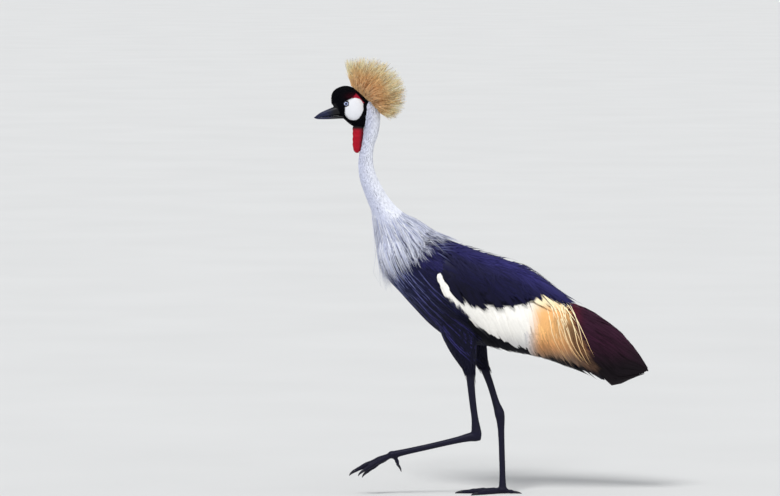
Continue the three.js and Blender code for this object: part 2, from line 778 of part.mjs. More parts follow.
// One toe with its joint pads, and the point from which its claw grows
function toeSolid(root, toe, raised) {
  const way = V(...toe.way).normalize();
  const across = V(0, 0, 1).cross(way).normalize();
  const down = V(0, 0, 0).crossVectors(across, way).multiplyScalar(-1).normalize();
  if (down.z > 0) down.negate();
  const from = V(root.x, root.y, root.z);
  const rows = [[0, 1.15], [0.17, 0.95], [0.34, 1.08], [0.52, 0.86], [0.7, 0.98], [0.86, 0.76], [1, 0.66]];
  const at = (share) => {
    const point = from.clone().addScaledVector(way, share * toe.length);
    if (raised) return point.addScaledVector(down, 9 * share * share);
    point.z = lerp(root.z - 1.5, 3.6, share ** 0.7);
    return point;
  };
  const stations = rows.map(([share, size]) => {
    const deep = toe.thick * size;
    return [...at(share).toArray(), deep, deep * 0.94];
  });
  return { solid: limb(stations, { sides: 6, steps: 7, across }), end: at(1), way, across, down };
}

function clawSolid(toe, made, raised) {
  const size = toe.thick * 0.6;
  const curl = raised ? 7 : made.end.z - 0.7;
  const rows = [[-0.1, 0, 1], [0.3, 0.15, 0.86], [0.7, 0.5, 0.58], [1, 1, 0.25]];
  const stations = rows.map(([share, drop, k]) => {
    const point = made.end.clone().addScaledVector(made.way, CLAW_LENGTH * share);
    point.addScaledVector(made.down, curl * drop);
    return [...point.toArray(), size * k, size * k * 0.8];
  });
  return limb(stations, { sides: 5, steps: 4, across: made.across });
}

function makeFoot(name, tarsus) {
  const { root, toes, raised } = FEET[name];
  const ground = solidOfGeometry(new THREE.BoxGeometry(900, 600, 60).translate(0, 0, -30));
  const onGround = (solid) => (raised ? solid : solid.subtract(ground));
  let foot = ellipsoid(root.x, root.y, root.z - (raised ? 0 : 1.5), 12.5, 11, 9.5, 12, 6);
  const claws = {};
  for (const [toeName, toe] of Object.entries(toes)) {
    const made = toeSolid(root, toe, raised);
    const clawCut = { at: made.end.clone().addScaledVector(made.way, -1).toArray(), down: toe.way };
    foot = foot.add(part(made.solid, clawCut)[0]);
    claws[toeName] = part(onGround(clawSolid(toe, made, raised)), clawCut)[1];
  }
  return { foot: largest(onGround(foot).subtract(tarsus)), claws };
}

// Materials
const tone = (color, roughness) => new THREE.MeshStandardMaterial({ color, roughness, metalness: 0 });
const MATERIALS = {
  slate: tone(0x23264a, 0.75),
  pearl: tone(0xb9bfda, 0.8),
  white: tone(0xece8dc, 0.75),
  black: tone(0x101018, 0.8),
  straw: tone(0xd8b26a, 0.7),
  scarlet: tone(0xb00f22, 0.55),
  horn: tone(0x1c1f2b, 0.45),
  eye: tone(0x9fb4d8, 0.1),
};

const bird = new THREE.Group();
function node(name, solid, material) {
  const made = solid.getMesh();
  const positions = new Float32Array(made.numVert * 3);
  for (let i = 0; i < made.numVert; i += 1) {
    positions.set(made.vertProperties.subarray(i * made.numProp, i * made.numProp + 3), i * 3);
  }
  const geometry = new THREE.BufferGeometry();
  geometry.setAttribute("position", new THREE.BufferAttribute(positions, 3));
  geometry.setIndex(new THREE.BufferAttribute(new Uint32Array(made.triVerts), 1));
  geometry.computeVertexNormals();
  const mesh = new THREE.Mesh(geometry, MATERIALS[material]);
  mesh.name = name;
  bird.add(mesh);
}

const torsoRoom = torsoSolid(GAP);
node("head", makeHead(), "black");
node("bill_upper", makeBillUpper(), "horn");
node("bill_lower", makeBillLower(), "horn");
for (const [side, hand] of [["left", LEFT], ["right", RIGHT]]) {
  node(`eye_${side}`, ellipsoid(EYE.x, hand * EYE.y, EYE.z, EYE.radius, EYE.radius, EYE.radius), "eye");
}
node("wattle", makeWattle(), "scarlet");
node("crown", makeCrown(), "straw");

const [neckUpper, neckRest] = part(neckSolid().subtract(headSolid(GAP)).subtract(cheekRoom()), NECK_CUTS[0]);
const [neckMiddle, neckLower] = part(neckRest, NECK_CUTS[1]);
node("neck_upper", neckUpper, "pearl");
node("neck_middle", neckMiddle, "pearl");
node("neck_lower", largest(unite([neckLower, ...neckPlumes()]).subtract(torsoRoom)), "pearl");
node("tail", makeTail([torsoRoom]), "black");

const wingRooms = [torsoRoom, neckSolid(GAP), tailRoot(GAP), ...neckPlumes(GAP)];
for (const leg of Object.values(LEGS)) wingRooms.push(limb(leg.thigh, { sides: 12, steps: 7, grow: GAP }));
const torsoRooms = [];

for (const [side, hand] of [["left", LEFT], ["right", RIGHT]]) {
  const leg = LEGS[side];
  node(`wing_${side}`, makeWing(hand, wingRooms), "white");
  torsoRooms.push(wingCore(hand, GAP));
  const thigh = part(limb(leg.thigh, { sides: 12, steps: 7 }), leg.knee)[0];
  node(`thigh_${side}`, largest(thigh.subtract(torsoRoom)), "slate");
  const shank = part(limb(leg.shank, { sides: 9, steps: 9 }), leg.knee)[1];
  node(`shank_${side}`, part(shank, leg.ankle)[0], "horn");
  node(`tarsus_${side}`, part(limb(leg.tarsus, { sides: 9, steps: 9 }), leg.ankle)[1], "horn");
  const { foot, claws } = makeFoot(side, limb(leg.tarsus, { sides: 9, steps: 9, grow: GAP }));
  node(`foot_${side}`, foot, "horn");
  for (const [toe, claw] of Object.entries(claws)) {
    node(`claw_${side}_${toe}`, claw, "horn");
  }
}

node("torso", makeTorso(torsoRooms), "slate");

const box = new THREE.Box3().setFromObject(bird);
const middle = box.getCenter(V(0, 0, 0));
for (const mesh of bird.children) mesh.geometry.translate(-middle.x, -middle.y, 0);
export default bird;
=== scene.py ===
# The looks of a grey crowned crane, life size: skin, feathers, crown, bill, eyes, wattle and legs.
# Tables and functions work in millimetres, and every mesh is turned into metres when it is made.
import math

import bpy
import numpy as np
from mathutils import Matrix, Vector
from mathutils.bvhtree import BVHTree


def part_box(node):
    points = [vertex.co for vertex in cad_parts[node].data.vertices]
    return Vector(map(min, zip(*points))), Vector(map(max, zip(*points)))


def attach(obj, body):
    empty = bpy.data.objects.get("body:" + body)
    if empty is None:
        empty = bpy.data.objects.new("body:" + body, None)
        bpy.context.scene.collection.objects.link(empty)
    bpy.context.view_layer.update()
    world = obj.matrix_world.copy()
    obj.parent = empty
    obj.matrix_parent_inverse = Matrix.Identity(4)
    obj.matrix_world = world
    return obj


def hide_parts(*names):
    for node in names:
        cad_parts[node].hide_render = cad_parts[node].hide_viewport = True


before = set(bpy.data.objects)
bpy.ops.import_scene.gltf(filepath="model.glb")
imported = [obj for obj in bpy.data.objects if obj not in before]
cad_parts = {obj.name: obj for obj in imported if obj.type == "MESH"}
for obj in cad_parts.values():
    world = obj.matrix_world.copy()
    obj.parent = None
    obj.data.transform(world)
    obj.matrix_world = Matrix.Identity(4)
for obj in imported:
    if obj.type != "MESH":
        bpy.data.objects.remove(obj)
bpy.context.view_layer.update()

MM = 0.001
LEFT = -1
RIGHT = 1
SIDES = (("left", LEFT), ("right", RIGHT))

# The sizes below are those of the solids, before their box is centred on X = Y = 0.
EYE = {"x": -324.5, "y": 17.4, "z": 940.0, "radius": 6.4}
CHEEK = {"x": -306.0, "y": 17.5, "z": 927.0, "long": 23.0, "out": 7.5, "high": 26.5}
CROWN_SEAT_FRONT = np.array([-314.0, 0.0, 981.0])
CROWN_SEAT_REAR = np.array([-256.0, 0.0, 924.0])
# How far the crown's bristles reach from the middle of its seat, by their angle in the side view
CROWN_REACH = np.array([
    [-40, 92], [-22, 104], [0, 109], [20, 112], [45, 108], [70, 103], [95, 102], [118, 103],
], float)
CROWN_SPREAD = 77.0  # degrees that the outermost bristles lean away from the crown's axis
WING_STATIONS = 8  # points along each feather of the folded wings
BACK_GAP = 42.0  # the folded wings' feathers stay this far from the middle of the back
CROWN_NARROWING = 0.57  # how much less the crown spreads sideways
BODY_FRONT = np.array([-245.0, 0.0, 590.0])
BODY_SLOPE = math.radians(24)
ALONG = np.array([math.cos(BODY_SLOPE), 0.0, -math.sin(BODY_SLOPE)])
RISE = np.array([math.sin(BODY_SLOPE), 0.0, math.cos(BODY_SLOPE)])
ACROSS = np.array([0.0, 1.0, 0.0])
DOWN = np.array([0.0, 0.0, -1.0])

# Neck from under the skull to the breast: x, y, z, half depth, half width
NECK = np.array([
    [-269, 0, 946, 15, 14], [-261, 0, 915, 17.5, 16], [-262, 0, 893, 18.2, 16.5],
    [-266, 0, 868, 17.6, 16.3], [-273.4, 0, 837, 15.1, 15.6], [-277.6, 0, 800, 17.2, 16.8],
    [-272.3, 0, 764, 19.6, 18.6], [-257.5, 0, 727, 22.2, 21.5], [-238, 0, 690, 26.5, 26],
    [-214, 0, 653, 36, 35], [-190, 0, 622, 47, 48], [-165, 0, 592, 55, 58],
], float)
# Sections of the body along its own axis: s, top, bottom, half width
TORSO = np.array([
    [-6, 40, 14, 10], [4, 58, -12, 30], [20, 68, -34, 46], [50, 76, -56, 60], [90, 78, -74, 71],
    [140, 79, -96, 78], [190, 82, -116, 82], [240, 88, -126, 82], [290, 93, -120, 78],
    [340, 93, -104, 71], [390, 84, -90, 61], [440, 70, -72, 49], [490, 54, -56, 36],
    [530, 37, -42, 23], [552, 20, -28, 12], [560, 6, -18, 5],
], float)
WING = np.array([
    [95, 86, -40, 78], [130, 89, -70, 87], [170, 91, -92, 92], [210, 93.5, -106, 94],
    [250, 97, -110, 93], [290, 102, -109, 90], [330, 105, -108, 86], [370, 99.5, -101, 81],
    [410, 90, -91, 75], [450, 80, -81, 69], [490, 75.5, -76, 62], [530, 70.5, -74, 54],
    [570, 62.5, -71, 45], [610, 53, -76, 35], [645, 37, -78, 25], [672, 23, -52, 18],
    [693, 10, -28, 11], [708, 1, -15, 6],
], float)
TORSO_ROUND = 2.0
WING_ROUND = 2.3
# Head: x, top, bottom, half width
HEAD = np.array([
    [-359.5, 956, 949, 3], [-357, 965, 935, 9], [-350, 973.5, 923, 14], [-340, 979, 913, 18],
    [-327, 982, 901, 21.5], [-314, 980, 890, 23.5], [-301, 973.5, 883, 23.6], [-289, 963.5, 882, 22],
    [-278, 952, 885, 18.6], [-268, 940, 893, 14], [-261, 928, 904, 7],
], float)
BILL_UPPER = np.array([
    [-402, 905.9, 904.6, 1], [-396, 911, 905, 3], [-386, 918, 906.1, 5], [-372, 924.5, 907.7, 7],
    [-358, 930.5, 909.6, 9], [-343, 937, 911.6, 11],
], float)
BILL_LOWER = np.array([
    [-399, 904.9, 903.6, 1], [-393, 905.3, 902.4, 2.6], [-384, 906.2, 902, 4.4],
    [-370, 907.9, 902, 6.2], [-356, 909.8, 902.6, 8.2], [-338, 912, 903.4, 10.2],
], float)
NOSTRIL = np.array([-368.0, 7.2, 916.5])
NOSTRIL_SIZE = np.array([6.5, 5, 2.1])
WATTLE = np.array([
    [-297, 3, 893, 11, 6], [-296, 3.6, 876, 13, 6.8], [-297, 4, 856, 12, 7.2],
    [-298, 4.2, 838, 10.5, 6.8], [-298.5, 4.2, 827, 7.5, 5.2], [-298.5, 4.2, 821.5, 3, 2.4],
], float)
# Legs: x, y, z, half depth, half width
LEGS = {
    "left": {
        "thigh": [
            [-62, -36, 440, 46, 26], [-54, -39, 400, 43, 25], [-46, -41, 365, 35, 22],
            [-38, -41, 336, 26, 17.5], [-31, -40, 312, 17, 13.5], [-26.5, -39.4, 286, 10.6, 10],
        ],
        "shank": [
            [-28, -39.7, 300, 10.6, 9.6], [-23.8, -38.5, 252, 9, 8.2], [-19.7, -37, 215, 8.4, 7.8],
            [-15.5, -35.5, 184, 8.6, 8], [-13, -34.5, 162, 11, 9.6], [-11.5, -34, 146, 12.4, 11],
            [-11, -34, 131, 9, 8],
        ],
        "tarsus": [
            [-1, -34, 143, 8, 8], [-12, -34, 142, 12.4, 11], [-29, -33.6, 139.5, 10.6, 9.4],
            [-58, -33, 132.5, 8.3, 7.6], [-120, -32, 118, 7.4, 6.8], [-180, -31, 104.5, 7.7, 7.2],
            [-206, -30.3, 98.5, 8.8, 8.4],
        ],
    },
    "right": {
        "thigh": [
            [-32, 36, 440, 44, 26], [-26, 38, 400, 40, 25], [-17, 38, 365, 31, 21.5],
            [-7, 36, 337, 22, 16.5], [2, 34, 314, 15, 12.5], [13.5, 31.4, 285, 10.2, 9.8],
        ],
        "shank": [
            [8.5, 32.8, 299, 10, 9.4], [21.5, 29.5, 264, 8.6, 8], [30, 27, 237, 8.3, 7.8],
            [37, 24.5, 214, 9.2, 8.4], [41.5, 23, 202, 11, 9.6], [44.5, 22, 192, 12, 11],
            [47, 22, 180, 8, 8],
        ],
        "tarsus": [
            [42, 22, 203, 8, 8], [44.5, 22, 192, 12, 11], [47, 21, 176, 10.4, 9.2],
            [48.5, 18.5, 148, 8.1, 7.4], [50.5, 13.5, 90, 7.4, 6.8], [51.6, 9.5, 40, 7.7, 7.2],
            [52, 7.2, 11, 9.4, 9],
        ],
    },
}
# Toes: the way each one points, how long it is without its claw, and how thick
FEET = {
    "left": {
        "root": (-213, -30, 97),
        "raised": True,
        "toes": {
            "middle": ((-0.95, 0.03, -0.31), 98, 7),
            "inner": ((-0.87, 0.19, -0.46), 76, 6.3),
            "outer": ((-0.92, -0.2, -0.36), 80, 6.3),
            "hind": ((0.62, 0.12, -0.6), 27, 5.4),
        },
    },
    "right": {
        "root": (52, 7, 9.5),
        "raised": False,
        "toes": {
            "middle": ((-1, -0.03, 0), 98, 7),
            "inner": ((-0.83, -0.56, 0), 76, 6.3),
            "outer": ((-0.85, 0.53, 0), 80, 6.3),
            "hind": ((0.97, -0.24, 0), 30, 5.4),
        },
    },
}
# How thick the pads of a toe are along it: share of its length, share of its thickness
TOE_PADS = np.array([
    [0, 1.15], [0.17, 0.95], [0.34, 1.08], [0.52, 0.86], [0.7, 0.98], [0.86, 0.76], [1, 0.66],
])
# Claws: shares of the length, of the curl and of the thickness
CLAW_FORM = np.array([[-0.25, 0, 0.9], [0, 0, 1], [0.3, 0.15, 0.86], [0.7, 0.5, 0.58], [1, 1, 0.18]])
CLAW_LENGTH = 17.0
TOE_DROOP = 9.0  # how far the raised foot's toes bend down at their ends
TOE_TIP_HEIGHT = 3.6  # the middle of the standing foot's toes at their ends
SOLE_DROP = 1.5  # the standing foot lies this much below the end of its leg
FLOOR_GAP = 0.05  # the lowest skin and claws stay this far above the floor
LEG_REACH = 15.0  # the skin this near to a leg's middle has scutes
SCUTE_LENGTH = 4.6  # each broad scale on the front of a leg
BILL_HALF = 12.0  # half the face's width beside the bill
CHEEK_ROUND = 2.7  # 2 is an oval, and more is fuller at the corners
COAT_BOTTOM = 345.0  # the lowest height of the back's coat and of the folded wings
FEATHERED_TO = 302.0  # the height at which the thigh's feathers end

# Where the markings of the folded wing lie in the side view: s and h pairs of the body's own frame
WHITE_TOP = np.array([
    [148, 14], [190, -12], [225, -26], [250, -22], [312, -3], [346, 12], [374, 32], [395, 56],
    [410, 67], [453, 70], [480, 74],
], float)
WHITE_LOW = np.array([
    [150, 8], [169, -21], [210, -38], [245, -49], [281, -65], [314, -74], [348, -83], [377, -85],
    [405, -80], [446, -74], [488, -69], [529, -63], [557, -59],
], float)
# Where the breast plumes' roots end at the top
PLUME_ROOT_LIMIT = np.array([
    [-6, 16], [20, -6], [60, -6], [100, 8], [126, -16], [150, -42], [190, -58], [250, -72],
])
# The pointed tips of the dark shoulder feathers over the white
SHOULDER_TIPS = np.array([
    [238, -32], [266, -27], [290, -23], [323, -9], [349, 7], [373, 25], [403, 51],
], float)

# Feathers across: each column's place and rise, as shares of the half width
TUFT = ((-1, 0), (0, 0.35), (1, 0))
FLAT_VANE = ((-1, 0), (0, 0.12), (1, 0))
CAMBERED = ((-1, -0.12), (-0.5, 0.04), (0, 0.12), (0.5, 0.04), (1, -0.12))
UNDERSIDE = ((1, -0.06), (-1, -0.06))
# Feathers along: shares of the half width from root to tip
BROAD = (0.6, 1, 1, 0.8, 0.12)
NARROW = (0.5, 1, 0.95, 0.6, 0.06)
POINTED = (0.5, 1, 0.9, 0.5, 0.04)
PLUME = (0.6, 1, 0.9, 0.6, 0.1)
BARB_SLANT = -1.3  # how far the barbs run along a feather as they run out
BAKE_PATCH = 0.003  # the size of a feather's patch on the unwrap

# Rows of wing feathers: count, line of the roots, line of the tips, half width, lifts over the wing from root
# to tip, how far tips and roots stray, form along, tilt and sag. A line runs from one s and h to another.
TIP_EDGE = [[0, 636, 46], [0.2, 672, 22], [0.4, 700, 4], [0.5, 708, -3], [0.65, 696, -17], [0.85, 660, -48],
            [1, 616, -68]]
FILLED_EDGE = [[0, 640, 32], [0.3, 678, 8], [0.5, 696, -8], [0.7, 680, -24], [1, 634, -58]]
INNER_EDGE = [[0, 600, 50], [0.3, 640, 20], [0.6, 640, -20], [1, 585, -66]]
SHORT_EDGE = [[0, 560, 58], [0.5, 585, 8], [1, 560, -58]]
BLACK_QUILLS = [
    (16, (296, -80, 470, -60), (404, -106, 592, -84), 8, (-6, -1, 0), (4, 3), NARROW),
    (110, (262, -70, 530, -58), (318, -99, 584, -80), 3.4, (-5, 0, 1.5), (8, 3), NARROW),
]
CHESTNUT_QUILLS = [
    (44, (500, 62, 524, -58), TIP_EDGE, 10, (-6, -2, -1), (3, 2), BROAD, 0.2),
    (60, (560, 40, 585, -56), FILLED_EDGE, 8, (-5, -2.4, -1.6), (5, 4), BROAD, 0.05),
    (44, (478, 66, 500, -40), INNER_EDGE, 6, (-5, 0, 0.5), (9, 4), NARROW, 0.2),
    (90, (470, 68, 505, -20), SHORT_EDGE, 2.6, (-3, 1.2, 1.8), (16, 5), NARROW, 0.1),
]
WHITE_COVERTS = [
    (40, (151, 12, 174, -14), (162, -10, 204, -34), 3.8, (-2, 1.5, 2.5), (2, 1.4)),
    (34, (160, 0, 262, -50), (196, -32, 330, -78), 6.5, (-5, 0.2, 1), (4, 2)),
    (44, (200, -20, 330, -20), (252, -50, 410, -77), 8, (-5, 0, 1.2), (4, 2)),
    (50, (270, -30, 392, 30), (330, -74, 470, -64), 8, (-5, 0.4, 1.8), (4, 2)),
    (44, (330, 0, 446, 66), (390, -50, 500, -20), 7, (-5, 0.8, 2.2), (5, 3)),
    (30, (352, 48, 400, 62), (400, 40, 462, 52), 5, (-4, 1, 2.4), (5, 3)),
]
GOLDEN_PATCH = [
    (170, (384, 6, 448, 62), (430, -70, 540, -40), 2.0, (-3, 2.2, 3.0), (8, 5), NARROW, 0.12, 0.04),
    (130, (400, -20, 470, 20), (446, -72, 546, -52), 1.5, (-1, 2.6, 3.4), (6, 5), NARROW, 0.12, 0.04),
]
GOLDEN_FAN = [
    (13, (424, 50, 456, 69), (520, -60, 580, -34), 0.95, (-2, 3.2, 4.6), (8, 7), NARROW, 0.12, 0.07),
    (12, (420, 54, 452, 69), (452, 20, 490, 30), 1.2, (-2, 3.2, 4.0), (10, 4), NARROW, 0.12, 0.05),
]
SHOULDERS = [
    (60, (300, 96, 330, 80), (476, 77, 440, 78), 4.5, (-6, 0.5, 2.6), (9, 1.5), NARROW),
    (60, (288, 84, 320, 44), (384, 70, 372, 44), 6, (-6, 0.5, 3.2), (6, 4), NARROW),
    (90, (214, 88, 240, 10), (356, 92, 318, 8), 6, (-6, 0.8, 3.4), (8, 5), NARROW),
    (100, (130, 82, 160, 14), (280, 88, 240, -12), 5.5, (-6, 0.8, 3.6), (7, 5), NARROW),
    (60, (150, 26, 300, 48), (222, -14, 372, 52), 4.5, (-5, 1.5, 3.6), (5, 4), NARROW),
    (220, (120, 66, 330, 84), (196, 52, 400, 76), 1.3, (-2, 3, 4.6), (26, 5), NARROW),
]

# Shift of the solids, which are centred on their box, found from the eye
eye_low, eye_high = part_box("eye_left")
eye_middle = (eye_low + eye_high) / 2 / MM
SHIFT = np.array([eye_middle.x - EYE["x"], eye_middle.y + EYE["y"], 0.0])


# Numbers and curves
def tone(red, green, blue):
    """A colour given as 0 to 255 on a screen, as the light that it gives back."""
    share = np.array([red, green, blue], float) / 255
    return np.where(share <= 0.04045, share / 12.92, ((share + 0.055) / 1.055) ** 2.4)


def mix(a, b, share):
    return a + (b - a) * share


def smooth(low, high, value):
    """0 below low and 1 above high, with a soft step between them."""
    t = np.clip((value - low) / (high - low), 0, 1)
    return t * t * (3 - 2 * t)


def unit(vectors):
    return vectors / np.maximum(np.linalg.norm(vectors, axis=-1, keepdims=True), 1e-9)


def dot(a, b):
    return np.sum(a * b, axis=-1, keepdims=True)


def step(low, high, value):
    """Smooth, as a column that mixes rows of colours or points."""
    return smooth(low, high, value)[:, None]


def rounded(value, power):
    """A value raised to a power, with its sign kept."""
    return np.sign(value) * np.abs(value) ** power


def full_turn(sides):
    """Angles spread evenly round a circle."""
    return np.linspace(0, 2 * math.pi, sides, endpoint=False)


def curve_through(places, values):
    """A smooth curve through values at places; values may hold several columns."""
    places = np.asarray(places, float)
    values = np.asarray(values, float).reshape(len(places), -1)
    before = np.maximum(np.arange(len(places)) - 1, 0)
    after = np.minimum(np.arange(len(places)) + 1, len(places) - 1)
    slopes = (values[after] - values[before]) / (places[after] - places[before])[:, None]

    def at(where):
        where = np.clip(np.asarray(where, float), places[0], places[-1])
        i = np.clip(np.searchsorted(places, where, side="right") - 1, 0, len(places) - 2)
        width = (places[i + 1] - places[i])[..., None]
        t = (where - places[i])[..., None] / width
        made = (
            (2 * t**3 - 3 * t**2 + 1) * values[i]
            + (t**3 - 2 * t**2 + t) * width * slopes[i]
            + (3 * t**2 - 2 * t**3) * values[i + 1]
            + (t**3 - t**2) * width * slopes[i + 1]
        )
        return made[..., 0] if values.shape[1] == 1 else made

    return at


def table_curve(table):
    """A smooth curve through the rows of a table, whose first column says where each row lies."""
    return curve_through(table[:, 0], table[:, 1:])


def path_through(stations):
    """The stations of a limb as a share of its length goes from 0 to 1, and that length."""
    stations = np.asarray(stations, float)
    steps = np.linalg.norm(np.diff(stations[:, :3], axis=0), axis=1)
    reach = np.concatenate([[0], np.cumsum(steps)])
    return curve_through(reach / reach[-1], stations), reach[-1]


def side_line(ends):
    """A line of the side view: from one s and h to another, or through a table of shares, s and h."""
    ends = np.array(ends, float)
    if ends.ndim == 2:
        return table_curve(ends)
    return lambda u: mix(ends[:2], ends[2:], u[:, None])


# The body's own frame: s runs from the breast to the tail, and h rises square to it
def body_point(s, h, y):
    s, h, y = np.broadcast_arrays(np.asarray(s, float), h, y)
    return BODY_FRONT + s[..., None] * ALONG + h[..., None] * RISE + y[..., None] * ACROSS


def body_place(points):
    """s and h of points."""
    away = points - BODY_FRONT
    return away @ ALONG, away @ RISE


class Sections:
    """A body form given by sections across the body's axis."""

    def __init__(self, table, roundness):
        self.curve = table_curve(table)
        self.roundness = roundness

    def point(self, s, angle, grow=0.0):
        s, angle = np.broadcast_arrays(np.asarray(s, float), angle)
        top, low, half = np.moveaxis(self.curve(s), -1, 0)
        top, low, half = top + grow, low - grow, half + grow
        power = 2 / self.roundness
        rise = rounded(np.cos(angle), power)
        across = rounded(np.sin(angle), power)
        return body_point(s, (top + low) / 2 + rise * (top - low) / 2, across * half)

    def angle(self, s, h):
        top, low, _ = np.moveaxis(self.curve(s), -1, 0)
        share = np.clip((h - (top + low) / 2) / ((top - low) / 2), -0.999, 0.999)
        return np.arccos(rounded(share, self.roundness / 2))

    def lifted(self, s, angle, lift):
        """A point lifted off the surface, and the way out of it."""
        ahead = self.point(s + 1, angle) - self.point(s - 1, angle)
        around = self.point(s, angle + 0.02) - self.point(s, angle - 0.02)
        out = unit(np.cross(ahead, around))
        return self.point(s, angle) + out * lift[..., None], out

    def rings(self, start, end, count, sides, grow):
        return self.point(np.linspace(start, end, count)[:, None], full_turn(sides), grow)


torso_form = Sections(TORSO, TORSO_ROUND)
wing_form = Sections(WING, WING_ROUND)
neck_curve, _ = path_through(NECK)


# Meshes
def mesh_piece(name, points, faces):
    """An object from points in millimetres and faces that all have the same number of corners."""
    faces = np.asarray(faces, np.int32)
    mesh = bpy.data.meshes.new(name)
    mesh.vertices.add(len(points))
    mesh.vertices.foreach_set("co", ((np.asarray(points) + SHIFT) * MM).astype(np.float32).ravel())
    corners = faces.shape[1]
    mesh.loops.add(faces.size)
    mesh.loops.foreach_set("vertex_index", faces.ravel())
    mesh.polygons.add(len(faces))
    mesh.polygons.foreach_set("loop_start", np.arange(0, faces.size, corners, dtype=np.int32))
    mesh.polygons.foreach_set("use_smooth", np.full(len(faces), True))
    mesh.update(calc_edges=True)
    piece = bpy.data.objects.new(name, mesh)
    bpy.context.scene.collection.objects.link(piece)
    return piece


def paint(piece, colours):
    """Keeps a colour for each point of the mesh."""
    layer = piece.data.color_attributes.new("colour", "FLOAT_COLOR", "POINT")
    held = np.ones((len(piece.data.vertices), 4), np.float32)
    held[:, :3] = np.clip(colours, 0, 1)
    layer.data.foreach_set("color", held.ravel())


def keep_value(piece, name, values):
    layer = piece.data.attributes.new(name, "FLOAT", "POINT")
    layer.data.foreach_set("value", np.asarray(values, np.float32))


def keep_uv(piece, name, across, along):
    """A UV map from one place for each point of the mesh."""
    places = np.stack(np.broadcast_arrays(across, along), -1).reshape(-1, 2).astype(np.float32)
    layer = piece.data.uv_layers.new(name=name)
    corners = np.zeros(len(piece.data.loops), np.int32)
    piece.data.loops.foreach_get("vertex_index", corners)
    layer.data.foreach_set("uv", places[corners].ravel())


def read_rows(items, name, width=3):
    """What each point or face of a mesh holds under a name, as rows."""
    held = np.zeros(len(items) * width, np.float32)
    items.foreach_get(name, held)
    return held.reshape(-1, width).astype(float)


def points_of(piece):
    return read_rows(piece.data.vertices, "co") / MM - SHIFT


def finished(piece, material, slot, *nodes):
    """Gives a piece its material, and says what it rides on and which solids it replaces."""
    piece.data.materials.append(material)
    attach(piece, "root")
    if nodes:
        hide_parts(*nodes)
    return piece


def loft(rings):
    """Points and triangles of a closed body through rings of points."""
    count, sides = rings.shape[:2]
    points = np.concatenate([rings.reshape(-1, 3), rings[0].mean(0)[None], rings[-1].mean(0)[None]])
    a = (np.arange(count - 1)[:, None] * sides + np.arange(sides)).ravel()
    b = (np.arange(count - 1)[:, None] * sides + (np.arange(sides) + 1) % sides).ravel()
    walls = np.concatenate([np.stack([a, b, b + sides], 1), np.stack([a, b + sides, a + sides], 1)])
    k = np.arange(sides)
    following = (k + 1) % sides
    first = np.stack([np.full(sides, count * sides), following, k], 1)
    last_ring = (count - 1) * sides
    last = np.stack([np.full(sides, count * sides + 1), k + last_ring, following + last_ring], 1)
    return points, np.concatenate([walls, first, last])


def one_mesh(bodies):
    """Points and faces of several bodies as those of one mesh."""
    starts = np.cumsum([0] + [len(points) for points, _ in bodies])
    faces = [walls + start for (_, walls), start in zip(bodies, starts)]
    return np.concatenate([points for points, _ in bodies]), np.concatenate(faces)


def limb_rings(stations, sides, steps, grow=0.0, across=(0, 1, 0)):
    """Rings of a limb through stations of x, y, z, half depth and half width."""
    curve, _ = path_through(stations)
    t = np.linspace(0, 1, steps)
    held = curve(t)
    along = unit(curve(np.minimum(t + 0.01, 1))[:, :3] - curve(np.maximum(t - 0.01, 0))[:, :3])
    across = np.array(across, float)
    side = unit(across - along * (along @ across)[:, None])
    up = np.cross(along, side)
    angle = full_turn(sides)[None, :, None]
    deep, wide = (held[:, 3:] + grow).T[:, :, None, None]
    return held[:, None, :3] + up[:, None] * deep * np.cos(angle) + side[:, None] * wide * np.sin(angle)


def upright_rings(table, sides, count, grow=0.0, past=0.0, power=1.0):
    """Rings of a form along X from a table of x, top, bottom and half width."""
    x = np.linspace(table[0, 0], table[-1, 0] + past, count)
    top, low, half = np.moveaxis(table_curve(table)(x), -1, 0)[..., None]
    angle = full_turn(sides)
    rise = np.cos(angle) * ((top - low) / 2 + grow) + (top + low) / 2
    across = rounded(np.sin(angle), power) * (half + grow)
    return np.stack([np.broadcast_to(x[:, None], rise.shape), across, rise], -1)


def ball(centre, radii, sides=40, rows=24):
    """Rings of a ball, from one pole to the other along X."""
    turn = np.linspace(0.02, math.pi - 0.02, rows)[:, None]
    angle = full_turn(sides)
    form = np.broadcast_arrays(-np.cos(turn), np.sin(turn) * np.cos(angle), np.sin(turn) * np.sin(angle))
    return np.array(centre) + np.stack(form, -1) * np.array(radii)


def toe_stations(foot, toe):
    """The stations of one toe, its end and the ways along, across and down it."""
    way, length, thick = toe
    way = unit(np.array(way, float))
    across = unit(np.cross([0.0, 0.0, 1.0], way))
    down = unit(np.cross(way, across))
    down = -down if down[2] > 0 else down
    share = np.linspace(0, 1, 22)
    points = np.array(foot["root"], float) + share[:, None] * length * way
    if foot["raised"]:
        points = points + down * (TOE_DROOP * share**2)[:, None]
    else:
        points[:, 2] = mix(foot["root"][2] - SOLE_DROP, TOE_TIP_HEIGHT, share**0.7)
    size = thick * table_curve(TOE_PADS)(share)
    return np.column_stack([points, size, size * 0.94]), points[-1], way, across, down


# The skin: one closed surface under the feathers, with the bare legs, feet and cheeks


